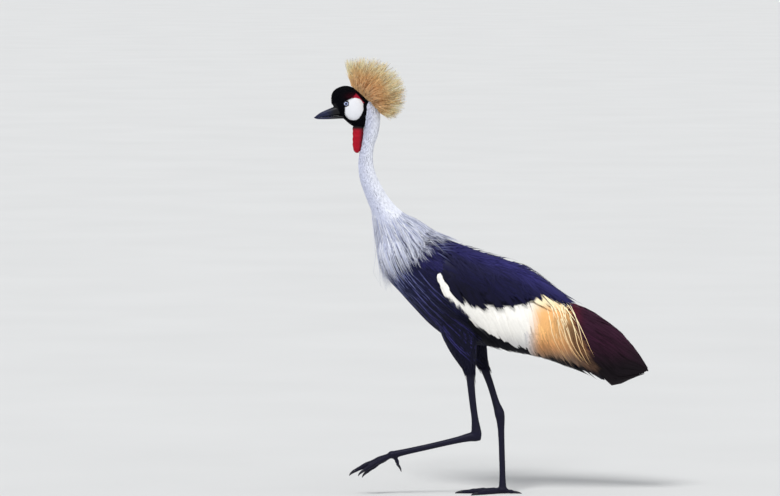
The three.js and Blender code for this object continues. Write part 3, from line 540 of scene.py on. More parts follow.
def make_skin():
    """The flesh as one surface, a coat's depth inside the solids, made from overlapping simple bodies."""
    forms = [
        torso_form.rings(-2, 556, 60, 48, -3.0),
        wing_form.rings(100, 618, 60, 64, -7.0),
        limb_rings(NECK, 40, 60, -2.4),
        upright_rings(HEAD, 48, 70, -1.6),
    ]
    for hand in (LEFT, RIGHT):
        radii = (CHEEK["long"], CHEEK["out"] - 0.6, CHEEK["high"])
        forms.append(ball((CHEEK["x"], hand * CHEEK["y"], CHEEK["z"]), radii))
    for side, leg in LEGS.items():
        forms.append(limb_rings(leg["thigh"], 32, 40, -2.5))
        forms += [limb_rings(leg[part], 28, 60) for part in ("shank", "tarsus")]
        foot = FEET[side]
        x, y, z = foot["root"]
        forms.append(ball((x, y, z if foot["raised"] else z - SOLE_DROP), (12.5, 11, 9.5)))
        for toe in foot["toes"].values():
            stations, _, _, across, _ = toe_stations(foot, toe)
            forms.append(limb_rings(stations, 20, 44, 0, across))
    skin = mesh_piece("skin", *one_mesh([loft(form) for form in forms]))
    remesh = skin.modifiers.new("one surface", "REMESH")
    remesh.mode = "VOXEL"
    remesh.voxel_size = 2.1 * MM
    soften = skin.modifiers.new("soft joins", "SMOOTH")
    soften.factor = 0.5
    soften.iterations = 4
    graph = bpy.context.evaluated_depsgraph_get()
    made = bpy.data.meshes.new_from_object(skin.evaluated_get(graph))
    skin.modifiers.clear()
    skin.data = made
    made.polygons.foreach_set("use_smooth", np.full(len(made.polygons), True))
    flatten_sole(skin)
    return skin


def flatten_sole(skin):
    """The standing foot rests flat on the floor."""
    held = points_of(skin) + SHIFT
    held[:, 2] = np.maximum(held[:, 2], FLOOR_GAP)
    skin.data.vertices.foreach_set("co", (held * MM).astype(np.float32).ravel())
    skin.data.update()


# Colours
# The lighter navy is a painted highlight; the deep navy is the tail's own near black and also painted shade
# low on the body and the wings.
NAVY = tone(18, 17, 54)
NAVY_HIGHLIGHT = tone(54, 50, 116)
NAVY_DEEP = tone(9, 8, 32)
BLACK = tone(9, 9, 18)
VELVET = tone(5, 5, 10)
PEARL = tone(238, 240, 248)
PEARL_SHADE = tone(184, 190, 220)
BREAST_LIGHT = tone(142, 150, 200)
BREAST_DARK = tone(30, 34, 70)
WHITE = tone(250, 247, 240)
WHITE_SHADE = tone(214, 212, 212)
CREAM = tone(250, 234, 192)
GOLD = tone(240, 182, 116)
GOLD_DEEP = tone(206, 146, 92)
GREY_BROWN = tone(120, 106, 96)
MAROON = tone(92, 20, 38)
PLUM = tone(44, 14, 34)
PLUM_DEEP = tone(13, 6, 13)
SCARLET = tone(166, 0, 30)
SCARLET_DEEP = tone(92, 0, 24)
SCARLET_BRIGHT = tone(158, 12, 44)
MAROON_DEEP = tone(60, 4, 18)
CHEEK_WHITE = tone(230, 231, 236)
LEG_SKIN = tone(14, 12, 38)
STRAW = tone(255, 214, 138)
STRAW_PALE = tone(255, 250, 214)
STRAW_DEEP = tone(255, 206, 148)
STRAW_DARK = tone(190, 136, 82)
FLECK = tone(70, 46, 34)
HORN = tone(19, 25, 58)
CLAW = tone(26, 26, 36)
LID = tone(10, 10, 18)
IRIS_INNER = tone(120, 138, 200)
IRIS_OUTER = tone(196, 206, 236)

white_top_curve = table_curve(WHITE_TOP)
white_low_curve = table_curve(WHITE_LOW)


def quill_start(z):
    """How far back the chestnut quills begin at a height: the edge of the golden fan."""
    return 197 + (469 - z) * 0.48


def brown_share(points):
    """How brown the golden plumes are beside the quills, between the pale strands."""
    x, z = points[:, 0], points[:, 2]
    return (smooth(-62, -14, x - quill_start(z)) * smooth(446, 400, z))[:, None] * 0.85


def wing_colour(points):
    """The folded wing's markings, found from the side view, with painted shade darkening the navy and greying
    the white lower down.
    """
    s, h = body_place(points)
    x, z = points[:, 0], points[:, 2]
    # Painted shade: the navy darkens lower on the wing.
    dark = mix(NAVY, NAVY_DEEP, step(40, -30, h))
    # Painted shade: the white greys towards its lower edge.
    white = mix(WHITE, WHITE_SHADE, step(400, 350, z))
    gold = mix(mix(CREAM, GOLD, step(468, 444, z)), GOLD_DEEP, step(395, 360, z))
    gold = mix(gold, GREY_BROWN, step(360, 322, z) * 0.8)
    gold = mix(gold, FLECK, brown_share(points))
    banded = mix(white, gold, step(103, 145, x))
    quill = mix(mix(MAROON, PLUM, step(200, 252, x)), PLUM_DEEP, step(372, 300, z))
    inside = smooth(-1, 2, white_top_curve(s) - h) * (s > 146)
    colours = mix(dark, banded, inside[:, None])
    rear = smooth(-2, 2, x - quill_start(z)) * (h < 78)
    colours = mix(colours, quill, (rear * (s > 470))[:, None])
    under = mix(NAVY, BLACK, step(200, 320, s))
    return mix(colours, under, (smooth(2, -2, h - white_low_curve(s)) * (x < quill_start(z)))[:, None])


RED_CORNER = -304.5
EYE_RING = 7.4


def from_eye(points):
    return np.hypot(points[:, 0] - EYE["x"], points[:, 2] - EYE["z"])


def cheek_share(points):
    """Below 1 inside the bare cheek, which the dark ring round the eye notches."""
    behind = points[:, 0] > CHEEK["x"]
    slant = 0.3 * np.maximum(CHEEK["z"] - points[:, 2], 0) * behind
    x = (points[:, 0] - CHEEK["x"]) / (CHEEK["long"] - slant)
    z = (points[:, 2] - CHEEK["z"]) / CHEEK["high"]
    oval = (np.abs(x) ** CHEEK_ROUND + np.abs(z) ** CHEEK_ROUND) ** (1 / CHEEK_ROUND)
    return np.where(from_eye(points) < EYE_RING, 2.0, oval)


def red_share(points):
    """1 in the bare red patch above the cheek, a triangle with its corner up."""
    x, z = points[:, 0], points[:, 2]
    top = 970.5 - np.where(x > RED_CORNER, 1.15, -1.55) * (x - RED_CORNER)
    return smooth(0, 1.2, top - z) * (z > 941) * (from_eye(points) > EYE_RING + 4)


def neck_share(points):
    """Where a point lies down the neck, from 0 under the skull to 1 at the breast."""
    t = np.linspace(0, 1, 200)
    held = neck_curve(t)
    away = np.abs(points[:, None, 0] - held[None, :, 0]) + np.abs(points[:, None, 2] - held[None, :, 2])
    return t[np.argmin(away, axis=1)]


def neck_way(share):
    """The way down the neck at a share of its length."""
    below = neck_curve(np.minimum(share + 0.02, 1))
    above = neck_curve(np.maximum(share - 0.02, 0))
    return unit((below - above)[:, :3])


def front_of(along):
    """The way square to a limb, towards the bird's front."""
    front = unit(np.cross(along, ACROSS))
    return front * np.where(front[:, :1] > 0, -1, 1)


def is_head(points):
    x, z = points[:, 0], points[:, 2]
    throat = 880 + np.maximum(x + 306, 0) * 0.1
    return (x < -276 + np.maximum(z - 940, 0) * 0.7) & (z > throat) & (z > 876)


def is_neck(points):
    s, h = body_place(points)
    return ~is_head(points) & (h > 62 + np.clip(s, -60, 60) * 0.35) & (s < 60)


def body_colour(points):
    """Breast, flanks, belly and thighs: slate at the front and navy behind, with painted shade that makes
    them near black lower down, from the breast back.
    """
    s, h = body_place(points)
    front = mix(BREAST_DARK, NAVY, step(40, 130, s))
    return mix(front, NAVY_DEEP, step(20, -70, h) * step(60, 200, s))


def neck_colour(points):
    share = neck_share(points)
    # Painted shade: the pale neck darkens towards its front.
    front = smooth(-1, 1, (neck_curve(share)[:, 0] - points[:, 0]) / 18)
    return mix(PEARL, PEARL_SHADE, (0.08 + 0.55 * front)[:, None])


def pale_share(points):
    """1 where the neck's pale coat lies, fading out over the shoulders."""
    s, h = body_place(points)
    edge = np.interp(h, [-20, 10, 40, 70, 86], [-10, 14, 38, 62, 92])
    return smooth(12, -16, s - edge)


def head_colour(points):
    """Black velvet that turns to a deep maroon beside the red patch."""
    x, z = points[:, 0], points[:, 2]
    near = np.exp(-((x + 308) / 15) ** 2 - ((z - 958) / 7) ** 2)
    return mix(VELVET, MAROON_DEEP, near[:, None] * 0.8)


def skin_colour(points):
    """The colours of the skin: those of the coat above it, and the bare cheeks and legs."""
    s, h = body_place(points)
    head = is_head(points)
    cheek = head & (cheek_share(points) < 1) & (np.abs(points[:, 1]) > BILL_HALF)
    colours = body_colour(points)
    for inside, colour in (
        ((s > 110) & (h > white_low_curve(s) - 20) & (points[:, 2] > FEATHERED_TO), wing_colour(points)),
        (is_neck(points), neck_colour(points)),
        (head, VELVET),
        (head & (red_share(points) > 0.5), SCARLET_BRIGHT),
        (cheek, CHEEK_WHITE),
        (points[:, 2] < FEATHERED_TO, LEG_SKIN),
    ):
        colours = np.where(inside[:, None], colour, colours)
    return colours


# Coat: feathers and tufts as thin vanes, closed round the small tufts, with a separate underside under the
# flat feathers
def bake_places(points):
    """A place on an unwrap of the skin for each root, with the neck, head and legs apart from the body."""
    s, h = body_place(points)
    x, y, z = points.T
    share = neck_share(points)

    def patch(corner, size, beside, ahead, along):
        turn = np.arctan2(beside, ahead) / (2 * math.pi) + 0.5
        return np.stack([corner[0] + size[0] * turn, corner[1] + size[1] * along], 1)

    body = patch((0.02, 0.02), (0.6, 0.94), y, h, np.clip(s / 710, 0, 1))
    neck = patch((0.65, 0.02), (0.15, 0.5), y, x - neck_curve(share)[:, 0], share)
    head = patch((0.65, 0.56), (0.32, 0.4), y, z - 930, np.clip((x + 362) / 190, 0, 1))
    leg = patch((0.83, 0.02), (0.14, 0.5), x + 30, y, np.clip(z / 440, 0, 1))
    places = np.where((is_neck(points) & (z > 600))[:, None], neck, body)
    places = np.where(((z < 360) & (s < 330))[:, None], leg, places)
    return np.where((z > 880)[:, None], head, places)


def coat_piece(name, spine, up, half, colours, material, slot, across=TUFT, flat=False):
    """Feathers from their spines. Across gives each column's place and rise as shares of the half width."""
    count, stations = spine.shape[:2]
    along = unit(np.gradient(spine, axis=1))
    side = unit(np.cross(up, along))
    out = np.cross(along, side)
    half = half[..., None]
    columns = [*across, *UNDERSIDE] if flat else across
    made = np.stack([spine + side * half * place + out * half * rise for place, rise in columns], axis=2)
    width = len(columns)
    vane = np.arange(count)[:, None] * stations * width
    start = (vane + np.arange(stations - 1)[None] * width).ravel()
    open_edges = (len(across) - 1, width - 1) if flat else ()
    faces = []
    for k in range(width):
        if k not in open_edges:
            following = (k + 1) % width
            corners = (k, k + width, following + width, following)
            faces.append(np.stack([start + corner for corner in corners], 1))
    piece = mesh_piece(name, made.reshape(-1, 3), np.concatenate(faces))
    paint(piece, np.repeat(colours[:, :, None], width, axis=2).reshape(-1, 3))
    length = np.cumsum(np.linalg.norm(np.diff(spine, axis=1, prepend=spine[:, :1]), axis=-1), axis=1)
    place = np.array(columns, float)[:, 0]
    keep_uv(piece, "vane", half * place / 10, length[..., None] / 10)
    roots = bake_places(spine[:, 0])[:, None, None]
    share = np.linspace(-0.5, 0.5, stations)[None, :, None]
    keep_uv(piece, "OFBake", roots[..., 0] + BAKE_PATCH * 0.5 * place, roots[..., 1] + BAKE_PATCH * share)
    return finished(piece, material, slot)


def nearest_on(tree, points):
    """The nearest place on the skin to each point, and the way out of the skin there."""
    found = np.array([tree.find_nearest(point)[:2] for point in (points + SHIFT) * MM])
    return found[:, 0] / MM - SHIFT, found[:, 1]


def scattered(skin, spacing, wanted, seed):
    """Roots spread evenly over the wanted part of the skin."""
    faces = skin.data.polygons
    centre = read_rows(faces, "center") / MM - SHIFT
    inside = wanted(centre)
    centre, normal = centre[inside], read_rows(faces, "normal")[inside]
    area = read_rows(faces, "area", 1)[inside, 0] / MM**2
    rng = np.random.default_rng(seed)
    count = int(area.sum() / spacing**2 * 5)
    picked = rng.choice(len(centre), count, p=area / area.sum())
    jitter = rng.uniform(-1.1, 1.1, (count, 3))
    points = centre[picked] + jitter - normal[picked] * dot(jitter, normal[picked])
    cells = np.floor(points / spacing).astype(np.int64)
    keys = cells[:, 0] * 73856093 ^ cells[:, 1] * 19349663 ^ cells[:, 2] * 83492791
    _, first = np.unique(keys, return_index=True)
    return points[first]


def grown_over(tree, roots, lie, length, lifts, stiffness=0.5):
    """Spines that follow the skin: each step goes the way the coat lies, at its own height over the skin."""
    count, stations = len(roots), len(lifts)
    spine = np.zeros((count, stations, 3))
    up = np.zeros((count, stations, 3))
    point = roots.copy()
    way = None
    for i in range(stations):
        base, normal = nearest_on(tree, point)
        flow = lie(base)
        flow = unit(flow - normal * dot(flow, normal))
        way = flow if way is None else unit(mix(flow, way, stiffness))
        way = unit(way - normal * dot(way, normal))
        spine[:, i] = base + normal * np.asarray(lifts[i]).reshape(-1, 1)
        up[:, i] = normal
        point = base + way * (length / (stations - 1))[:, None]
    return spine, up


def shaped(half, profile, stations):
    """Half widths down each feather from its own half width and a list of shares."""
    share = np.interp(np.linspace(0, 1, stations), np.linspace(0, 1, len(profile)), profile)
    return np.asarray(half)[:, None] * share[None]


def varied(rng, colours, spread):
    """The same colours, each feather a little lighter or darker than the next."""
    return colours * (1 + spread * rng.uniform(-1, 1, (len(colours), 1, 1)))


# Materials
def feed(tree, node, inputs):
    """Gives inputs of a node their values, or feeds them from a socket or another node's first output."""
    for name, given in inputs.items():
        if isinstance(given, bpy.types.Node):
            given = given.outputs[0]
        if isinstance(given, bpy.types.NodeSocket):
            tree.links.new(given, node.inputs[name])
        else:
            node.inputs[name].default_value = given


def add(tree, kind, inputs, **settings):
    """Adds a shader node with its settings and inputs."""
    node = tree.nodes.new("ShaderNode" + kind)
    for name, value in settings.items():
        setattr(node, name, value)
    feed(tree, node, inputs)
    return node


def calculated(tree, operation, *values):
    return add(tree, "Math", dict(enumerate(values)), operation=operation)


def ranged(tree, value, low=0.0, high=1.0, from_low=0.0, from_high=1.0):
    """A value carried from one range to another."""
    ends = {"From Min": from_low, "From Max": from_high, "To Min": low, "To Max": high}
    return add(tree, "MapRange", {"Value": value, **ends})


def spots(tree):
    """Places in the object's own space."""
    return add(tree, "TexCoord", {}).outputs["Object"]


def mottle(tree, scale, low, high):
    """A soft noise between low and high."""
    return ranged(tree, add(tree, "TexNoise", {"Vector": spots(tree), "Scale": scale}), low, high)


def held_by_mesh(tree, name, output="Fac"):
    """What the mesh keeps at each point under a name."""
    return add(tree, "Attribute", {}, attribute_name=name).outputs[output]


def scaled_colour(tree, colour, strength):
    return add(tree, "VectorMath", {0: colour, "Scale": strength}, operation="SCALE")


def barb_group():
    """Fine barbs that run out from the shaft of a feather, as a shaded colour and a height."""
    tree = bpy.data.node_groups.new("feather barbs", "ShaderNodeTree")
    for way, name, kind in (
        ("INPUT", "Colour", "Color"),
        ("INPUT", "Barb contrast", "Float"),
        ("INPUT", "Barb spacing", "Float"),
        ("OUTPUT", "Colour", "Color"),
        ("OUTPUT", "Height", "Float"),
    ):
        tree.interface.new_socket(name, in_out=way, socket_type="NodeSocket" + kind)
    given = tree.nodes.new("NodeGroupInput").outputs
    vane = add(tree, "SeparateXYZ", {0: add(tree, "UVMap", {}, uv_map="vane")}).outputs
    beside = calculated(tree, "ABSOLUTE", vane["X"])
    slant = calculated(tree, "MULTIPLY_ADD", beside, BARB_SLANT, vane["Y"])
    rows = calculated(tree, "MULTIPLY", slant, given["Barb spacing"])
    spot = add(tree, "CombineXYZ", {"X": vane["X"], "Y": rows})
    noise = add(tree, "TexNoise", {"Vector": spot, "Scale": 1.0, "Detail": 3.0})
    centred = calculated(tree, "SUBTRACT", ranged(tree, noise, 0, 1, 0.3, 0.7), 0.5)
    strength = calculated(tree, "MULTIPLY_ADD", centred, given["Barb contrast"], 1.0)
    shaded = scaled_colour(tree, given["Colour"], strength)
    feed(tree, tree.nodes.new("NodeGroupOutput"), {"Colour": shaded, "Height": noise})
    return tree


BARBS = barb_group()


def plain_material(name, roughness, specular):
    """A material and its nodes, ready for a colour and a surface."""
    material = bpy.data.materials.new(name)
    material.use_nodes = True
    shade(material.node_tree, {"Roughness": roughness, "Specular IOR Level": specular})
    return material, material.node_tree


def shade(tree, inputs):
    """Feeds the material's own shader."""
    feed(tree, tree.nodes["Principled BSDF"], inputs)


def shade_painted(tree, strength):
    """The painted colour on the shader, lightened or darkened by a strength."""
    shade(tree, {"Base Color": scaled_colour(tree, held_by_mesh(tree, "colour", "Color"), strength)})


def emboss(tree, height, strength, depth):
    """A bump on the shader, with its depth in millimetres."""
    bump = add(tree, "Bump", {"Height": height, "Strength": strength, "Distance": depth * MM})
    shade(tree, {"Normal": bump})


def feather_material(name, roughness, contrast, spacing, depth, sheen, sheen_tint, specular):
    """Feathers: their painted colour with barbs across it and a soft sheen."""
    material, tree = plain_material(name, roughness, specular)
    given = {
        "Colour": held_by_mesh(tree, "colour", "Color"),
        "Barb contrast": contrast,
        "Barb spacing": spacing,
    }
    barbs = add(tree, "Group", given, node_tree=BARBS)
    shade(tree, {"Base Color": barbs, "Sheen Weight": sheen, "Sheen Tint": (*sheen_tint, 1)})
    emboss(tree, barbs.outputs["Height"], depth, 0.4)
    return material


def skin_material():
    """Bare skin: scutes along the legs, fine pimples on the cheeks and a soft mottle on the bare legs."""
    material, tree = plain_material("bare skin", 0.55, 0.2)
    scales = add(tree, "TexVoronoi", {"Vector": spots(tree), "Scale": 330}, feature="DISTANCE_TO_EDGE")
    scutes = calculated(tree, "PINGPONG", held_by_mesh(tree, "scute"), 0.5)
    edges = {
        "Factor": held_by_mesh(tree, "scuted"),
        "A": ranged(tree, scales, from_high=0.16),
        "B": ranged(tree, scutes, from_high=0.1),
    }
    height = add(tree, "Mix", edges)
    grooved = calculated(tree, "MULTIPLY", mottle(tree, 90, 0.72, 1.25), ranged(tree, height, 0.55))
    shade_painted(tree, add(tree, "Mix", {"Factor": held_by_mesh(tree, "scaled"), "A": 1.0, "B": grooved}))
    emboss(tree, height, 0.6, 0.5)
    return material


def skin_marks(skin):
    """Colours of the skin, and where the legs have scutes in front and small scales elsewhere."""
    points = points_of(skin)
    paint(skin, skin_colour(points))
    scute, scuted = np.zeros((2, len(points)))
    bare = (points[:, 2] < FEATHERED_TO) & (body_place(points)[1] < -150)
    t = np.linspace(0, 1, 160)
    for side, hand in SIDES:
        near = bare & (np.sign(points[:, 1]) == hand)
        for name in ("shank", "tarsus"):
            curve, length = path_through(LEGS[side][name])
            held = curve(t)[:, :3]
            away = np.linalg.norm(points[near][:, None] - held[None], axis=2)
            best = np.argmin(away, axis=1)
            close = away[np.arange(len(best)), best] < LEG_REACH
            index = np.flatnonzero(near)[close]
            best = best[close]
            scute[index] = t[best] * length / SCUTE_LENGTH
            front = front_of(unit(np.gradient(held, axis=0))[best])
            facing = dot(unit(points[index] - held[best]), front)[:, 0]
            scuted[index] = smooth(0.1, 0.3, facing) if name == "tarsus" else 0
    keep_value(skin, "scute", scute)
    keep_value(skin, "scuted", scuted)
    keep_value(skin, "scaled", bare.astype(float))


# Coats that grow over the skin
BACK_LIFTS = [0.3, 3.2, 4.2, 4.6]
BACK_STATIONS = len(BACK_LIFTS)


def make_coat(name, ground, spacing, wanted, seed, lie, length, half, lifts, colour_of, material, slot,
              spread):
    """A coat of small feathers. Length and half width may change with the place."""
    skin, tree = ground
    rng = np.random.default_rng(seed)
    roots = scattered(skin, spacing, wanted, seed)
    count = len(roots)
    long = length(roots) * rng.uniform(0.82, 1.15, count)
    wide = half(roots) * rng.uniform(0.8, 1.2, count)
    sway = rng.normal(0, 0.09, (count, 3))
    heights = [lift * rng.uniform(0.75, 1.25, count) for lift in lifts]
    spine, up = grown_over(tree, roots, lambda base: lie(base) + sway, long, heights)
    colours = varied(rng, colour_of(spine.reshape(-1, 3)).reshape(spine.shape), spread)
    widths = shaped(wide, [0.55, 1, 0.85, 0.14], len(lifts))
    return coat_piece(name, spine, up, widths, colours, material, slot)


def down_neck(points):
    """The way the neck's feathers lie: down its length."""
    return neck_way(neck_share(points))


def down_body(points):
    """The way the body's feathers lie: back along the body, and down at the breast and the thighs."""
    s, _ = body_place(points)
    sink = mix(0.9, 0.22, smooth(-10, 150, s))[:, None]
    lie = ALONG + sink * DOWN
    leg = step(450, 395, points[:, 2]) * (s < 330)[:, None]
    return unit(mix(lie, np.array([0.12, 0.0, -1.0]), leg))


def back_of_head(points):
    """The way the head's feathers lie: back from the bill, and down at the throat."""
    low = step(925, 890, points[:, 2])
    return unit(mix(np.array([1.0, 0.0, 0.05]), np.array([0.75, 0.0, -0.6]), low))


def over_wing(points):
    """1 where the folded wings' own feathers lie over the skin."""
    s, h = body_place(points)
    beside = (np.abs(points[:, 1]) > BACK_GAP) | (s > 448)
    return (s > 150) & (h > white_low_curve(s) - 22) & (h < 88) & (points[:, 2] > COAT_BOTTOM) & beside


# Feathers of the folded wings
def wing_feathers(hand, rng, count, roots, tips, half, lifts, stray=(4, 3), profile=BROAD, tilt=0.12,
                  sag=0.0):
    """Spines, ways out and half widths of a row of feathers whose roots and tips follow lines."""
    u = np.clip((np.arange(count) + rng.uniform(0.1, 0.9, count)) / count, 0, 1)
    root = side_line(roots)(u) + rng.normal(0, 1, (count, 2)) * stray[1]
    tip = side_line(tips)(u) + rng.normal(0, 1, (count, 2)) * stray[0]
    t = np.linspace(0, 1, WING_STATIONS)
    s = mix(root[:, :1], tip[:, :1], t)
    ends = [hand * wing_form.angle(end[:, 0], end[:, 1])[:, None] for end in (root, tip)]
    angle = mix(*ends, t + sag * np.sin(math.pi * t))
    height = np.interp(t, [0, 1 / 3, 1], lifts)[None] + rng.uniform(-0.5, 0.5, (count, 1))
    spine, out = wing_form.lifted(s, angle, height)
    side = np.cross(out, unit(np.gradient(spine, axis=1)))
    out = unit(out + side * tilt * hand)
    return spine, out, shaped(half * rng.uniform(0.85, 1.15, count), profile, WING_STATIONS)


def wing_tier(name, rows, colour_of, material, slot, seed, spread, across=FLAT_VANE):
    """One coat piece from rows of wing feathers on both sides of the bird."""
    rng = np.random.default_rng(seed)
    made = [wing_feathers(hand, rng, *row) for hand in (LEFT, RIGHT) for row in rows]
    spine, up, half = (np.concatenate(held) for held in zip(*made))
    colours = varied(rng, colour_of(spine.reshape(-1, 3)).reshape(spine.shape), spread)
    return coat_piece(name, spine, up, half, colours, material, slot, across, True)


def make_wings():
    """The folded wings, tier over tier: quills, white coverts, golden plumes and dark shoulders."""
    slate = feather_material("slate wing feathers", 0.55, 0.4, 9, 0.35, 0.04, (0.5, 0.5, 1.0), 0.14)
    white = feather_material("white wing feathers", 0.6, 0.1, 8, 0.25, 0.05, (1, 1, 1), 0.25)
    gold = feather_material("golden plumes", 0.5, 0.3, 4, 0.2, 0.05, (1, 0.9, 0.7), 0.25)
    quill = feather_material("chestnut quills", 0.55, 0.45, 8, 0.3, 0.03, (1, 0.5, 0.6), 0.12)
    black = feather_material("black quills", 0.6, 0.3, 8, 0.3, 0.0, (0.7, 0.7, 1), 0.1)
    shoulders = list(SHOULDERS)
    for tip in SHOULDER_TIPS:
        back = tip + np.array([-74, 46 if tip[0] < 270 else 34]) * (1 if tip[0] < 380 else 0.8)
        roots = np.concatenate([back + [-6, 8], back + [14, -12]])
        tips = np.concatenate([tip - [4, -3], tip])
        shoulders.append((9, roots, tips, 7, (-6, 2.2, 4.2), (3, 1.2), POINTED))
    for name, rows, colour_of, material, slot, seed, spread, across in (
        ("black_quills", BLACK_QUILLS, black_colour, black, "black_feathers", 21, 0.25, FLAT_VANE),
        ("chestnut_quills", CHESTNUT_QUILLS, wing_colour, quill, "wing_feathers", 22, 0.3, CAMBERED),
        ("white_coverts", WHITE_COVERTS, wing_colour, white, "wing_feathers", 23, 0.05, CAMBERED),
        ("golden_plumes", GOLDEN_PATCH, golden_colour, gold, "wing_feathers", 24, 0.28, FLAT_VANE),
        ("golden_fan", GOLDEN_FAN, fan_colour, gold, "wing_feathers", 27, 0.12, FLAT_VANE),
        ("scapulars", shoulders, shoulder_colour, slate, "slate_feathers", 25, 0.3, FLAT_VANE),
    ):
        wing_tier(f"feathers_{name}", rows, colour_of, material, slot, seed, spread, across)


def black_colour(points):
    return np.broadcast_to(BLACK, points.shape)


def golden_colour(points):
    """Golden plumes: cream where they grow, golden below, and greyish brown at their tips."""
    x, z = points[:, 0], points[:, 2]
    colours = mix(mix(CREAM, GOLD, step(468, 446, z)), GOLD_DEEP, step(400, 356, z))
    colours = mix(colours, GREY_BROWN, step(366, 322, z) * 0.85)
    colours = mix(colours, FLECK, brown_share(points))
    return mix(WHITE_SHADE, colours, step(103, 143, x))


def fan_colour(points):
    """Pale strands, cream at their roots and a light gold at their tips."""
    return mix(CREAM, mix(CREAM, GOLD, 0.75), step(440, 340, points[:, 2]))


def shoulder_colour(points):
    """Navy with a painted highlight along the top and towards the front, painted shade lower down, and some
    pale streaks where the neck's plumes end.
    """
    s, h = body_place(points)
    lit = step(52, 96, h) * 0.55 + step(150, 90, s) * 0.3
    colours = mix(mix(NAVY, NAVY_HIGHLIGHT, np.clip(lit, 0, 1)), NAVY_DEEP, step(56, -10, h))
    streaks = np.repeat(np.random.default_rng(47).random(len(points) // WING_STATIONS) < 0.45, WING_STATIONS)
    return mix(colours, BREAST_LIGHT, (streaks * smooth(170, 112, s) * smooth(20, 60, h))[:, None] * 0.45)


# Long plumes of the neck and the breast
def plume_lines(rng, count, tree, u, root_share, tip_place, bulge, lifts, room, stations=9):
    """Plumes from the neck's base, clear of the skin by their lift and no further than their room."""
    angle = u * math.radians(118)
    held = neck_curve(root_share)
    front = front_of(neck_way(root_share))
    deep, wide = (held[:, 3:] - 4).T[..., None] * np.stack([np.cos(angle), np.sin(angle)])[..., None]
    root = held[:, :3] + front * deep + ACROSS * wide
    t = np.linspace(0, 1, stations)[None, :, None]
    swell = np.sin(math.pi * t) * np.clip(1 - np.abs(u), 0, 1)[:, None, None]
    spine = mix(root[:, None], tip_place[:, None], t) + np.array([-1.0, 0.0, 0.0]) * bulge * swell
    flat = spine.reshape(-1, 3)
    base, normal = nearest_on(tree, flat)
    rising = mix(0.3, 1.0, smooth(0, 0.5, np.linspace(0, 1, stations)))
    lift = (lifts[:, None] * rising).reshape(-1, 1)
    most = lift + np.repeat(room, stations)[:, None]
    height = dot(flat - base, normal)
    flat = np.where((height < lift) | (height > most), base + normal * np.clip(height, lift, most), flat)
    out = unit(np.stack([-np.cos(angle), np.sin(angle), np.full(count, 0.25)], 1))
    return flat.reshape(spine.shape), np.repeat(out[:, None], stations, axis=1)


def make_neck_plumes(tree):
    """Long pale plumes that fall from the neck's base over the breast, the shoulders and the back."""
    rng = np.random.default_rng(31)
    count = 2500
    u = rng.uniform(-1.5, 1.5, count)
    off = np.abs(u)
    behind = np.clip((off - 1) / 0.5, 0, 1)
    share = mix(0.62, 0.78, np.clip(off, 0, 1)) + rng.uniform(0, 0.16, count)
    s = mix(54, 112, off**1.5) + rng.normal(0, 10, count)
    h = mix(-82, 34, off) + rng.normal(0, 10, count)
    early = rng.random(count) ** 1.4 * 0.5
    reach = mix(9, 76, np.clip(off * 1.4, 0, 1)) * mix(1, 0.05, behind) * np.sign(u)
    tip = mix(body_point(s, h, reach), neck_curve(share)[:, :3], early[:, None] * 0.5)
    room = mix(26, 2, smooth(0.2, 0.6, off))
    lifts = rng.uniform(2.0, 5.5, count) + 1.5 * smooth(0.15, 0.4, off) + 5 * smooth(0.7, 1.0, off)
    spine, up = plume_lines(rng, count, tree, u, share, tip, 3, lifts, room)
    t = np.linspace(0, 1, spine.shape[1])[None, :, None]
    pale = mix(PEARL, PEARL_SHADE, rng.random((count, 1, 1)) * 0.8)
    tips = mix(BREAST_LIGHT, BREAST_DARK, rng.random((count, 1, 1)) ** 1.5)
    fade = rng.uniform(0.62, 1.3, (count, 1, 1)) - 0.06 * off[:, None, None]
    colours = mix(pale, tips, smooth(fade, fade + 0.4, t))
    dark = (rng.random(count) < 0.16)[:, None, None]
    colours = np.where(dark, mix(PEARL_SHADE, BREAST_DARK, smooth(0.3, 0.7, t)), colours)
    half = shaped(rng.uniform(0.7, 1.6, count), PLUME, spine.shape[1])
    material = feather_material("pearl plumes", 0.55, 0.3, 5, 0.3, 0.05, (0.9, 0.92, 1), 0.25)
    coat_piece("feathers_neck_plumes", spine, up, half, colours, material, "pearl_feathers")


def make_breast_plumes(skin, tree):
    """Long strands that flow from the breast back over the wing's front edge and down the flank."""
    material = feather_material("breast plumes", 0.55, 0.35, 5, 0.3, 0.04, (0.6, 0.65, 1), 0.15)
    rng = np.random.default_rng(32)
    stations = 8

    def wanted(points):
        s, h = body_place(points)
        low = (h < np.interp(s, *PLUME_ROOT_LIMIT.T)) & (h > -116)
        return (s > -6) & (s < 250) & low & (np.abs(points[:, 1]) > 4) & (points[:, 2] > 380)

    def lie(points):
        place, _ = body_place(points)
        return unit(ALONG + mix(1.3, 0.42, step(-10, 130, place)) * DOWN) + sway

    roots = scattered(skin, 4.0, wanted, 33)
    count = len(roots)
    s, h = body_place(roots)
    long = mix(70, 130, smooth(0, 110, s)) * rng.uniform(0.7, 1.25, count)
    sway = rng.normal(0, 0.05, (count, 3))
    lifts = [rng.uniform(0.3, 1.0, count)] + [rng.uniform(1, 4.2, count)] * (stations - 1)
    spine, up = grown_over(tree, roots, lie, long, lifts, 0.6)
    t = np.linspace(0, 1, stations)[None, :, None]
    # Painted highlights: some strands, more of them at the front, are lit along their middle.
    light = (rng.random(count) < mix(0.6, 0.22, smooth(0, 130, s)))[:, None, None]
    base = mix(BREAST_DARK, NAVY_DEEP, step(20, 170, s)[..., None])
    shine = mix(BREAST_LIGHT, NAVY_HIGHLIGHT, step(0, 140, s)[..., None])
    lit = mix(base, shine, np.sin(math.pi * np.clip(t * 1.1, 0, 1)) * 0.9)
    colours = varied(rng, np.where(light, lit, base), 0.3)
    half = shaped(rng.uniform(0.7, 1.6, count), PLUME, stations)
    coat_piece("feathers_breast_plumes", spine, up, half, colours, material, "slate_feathers")


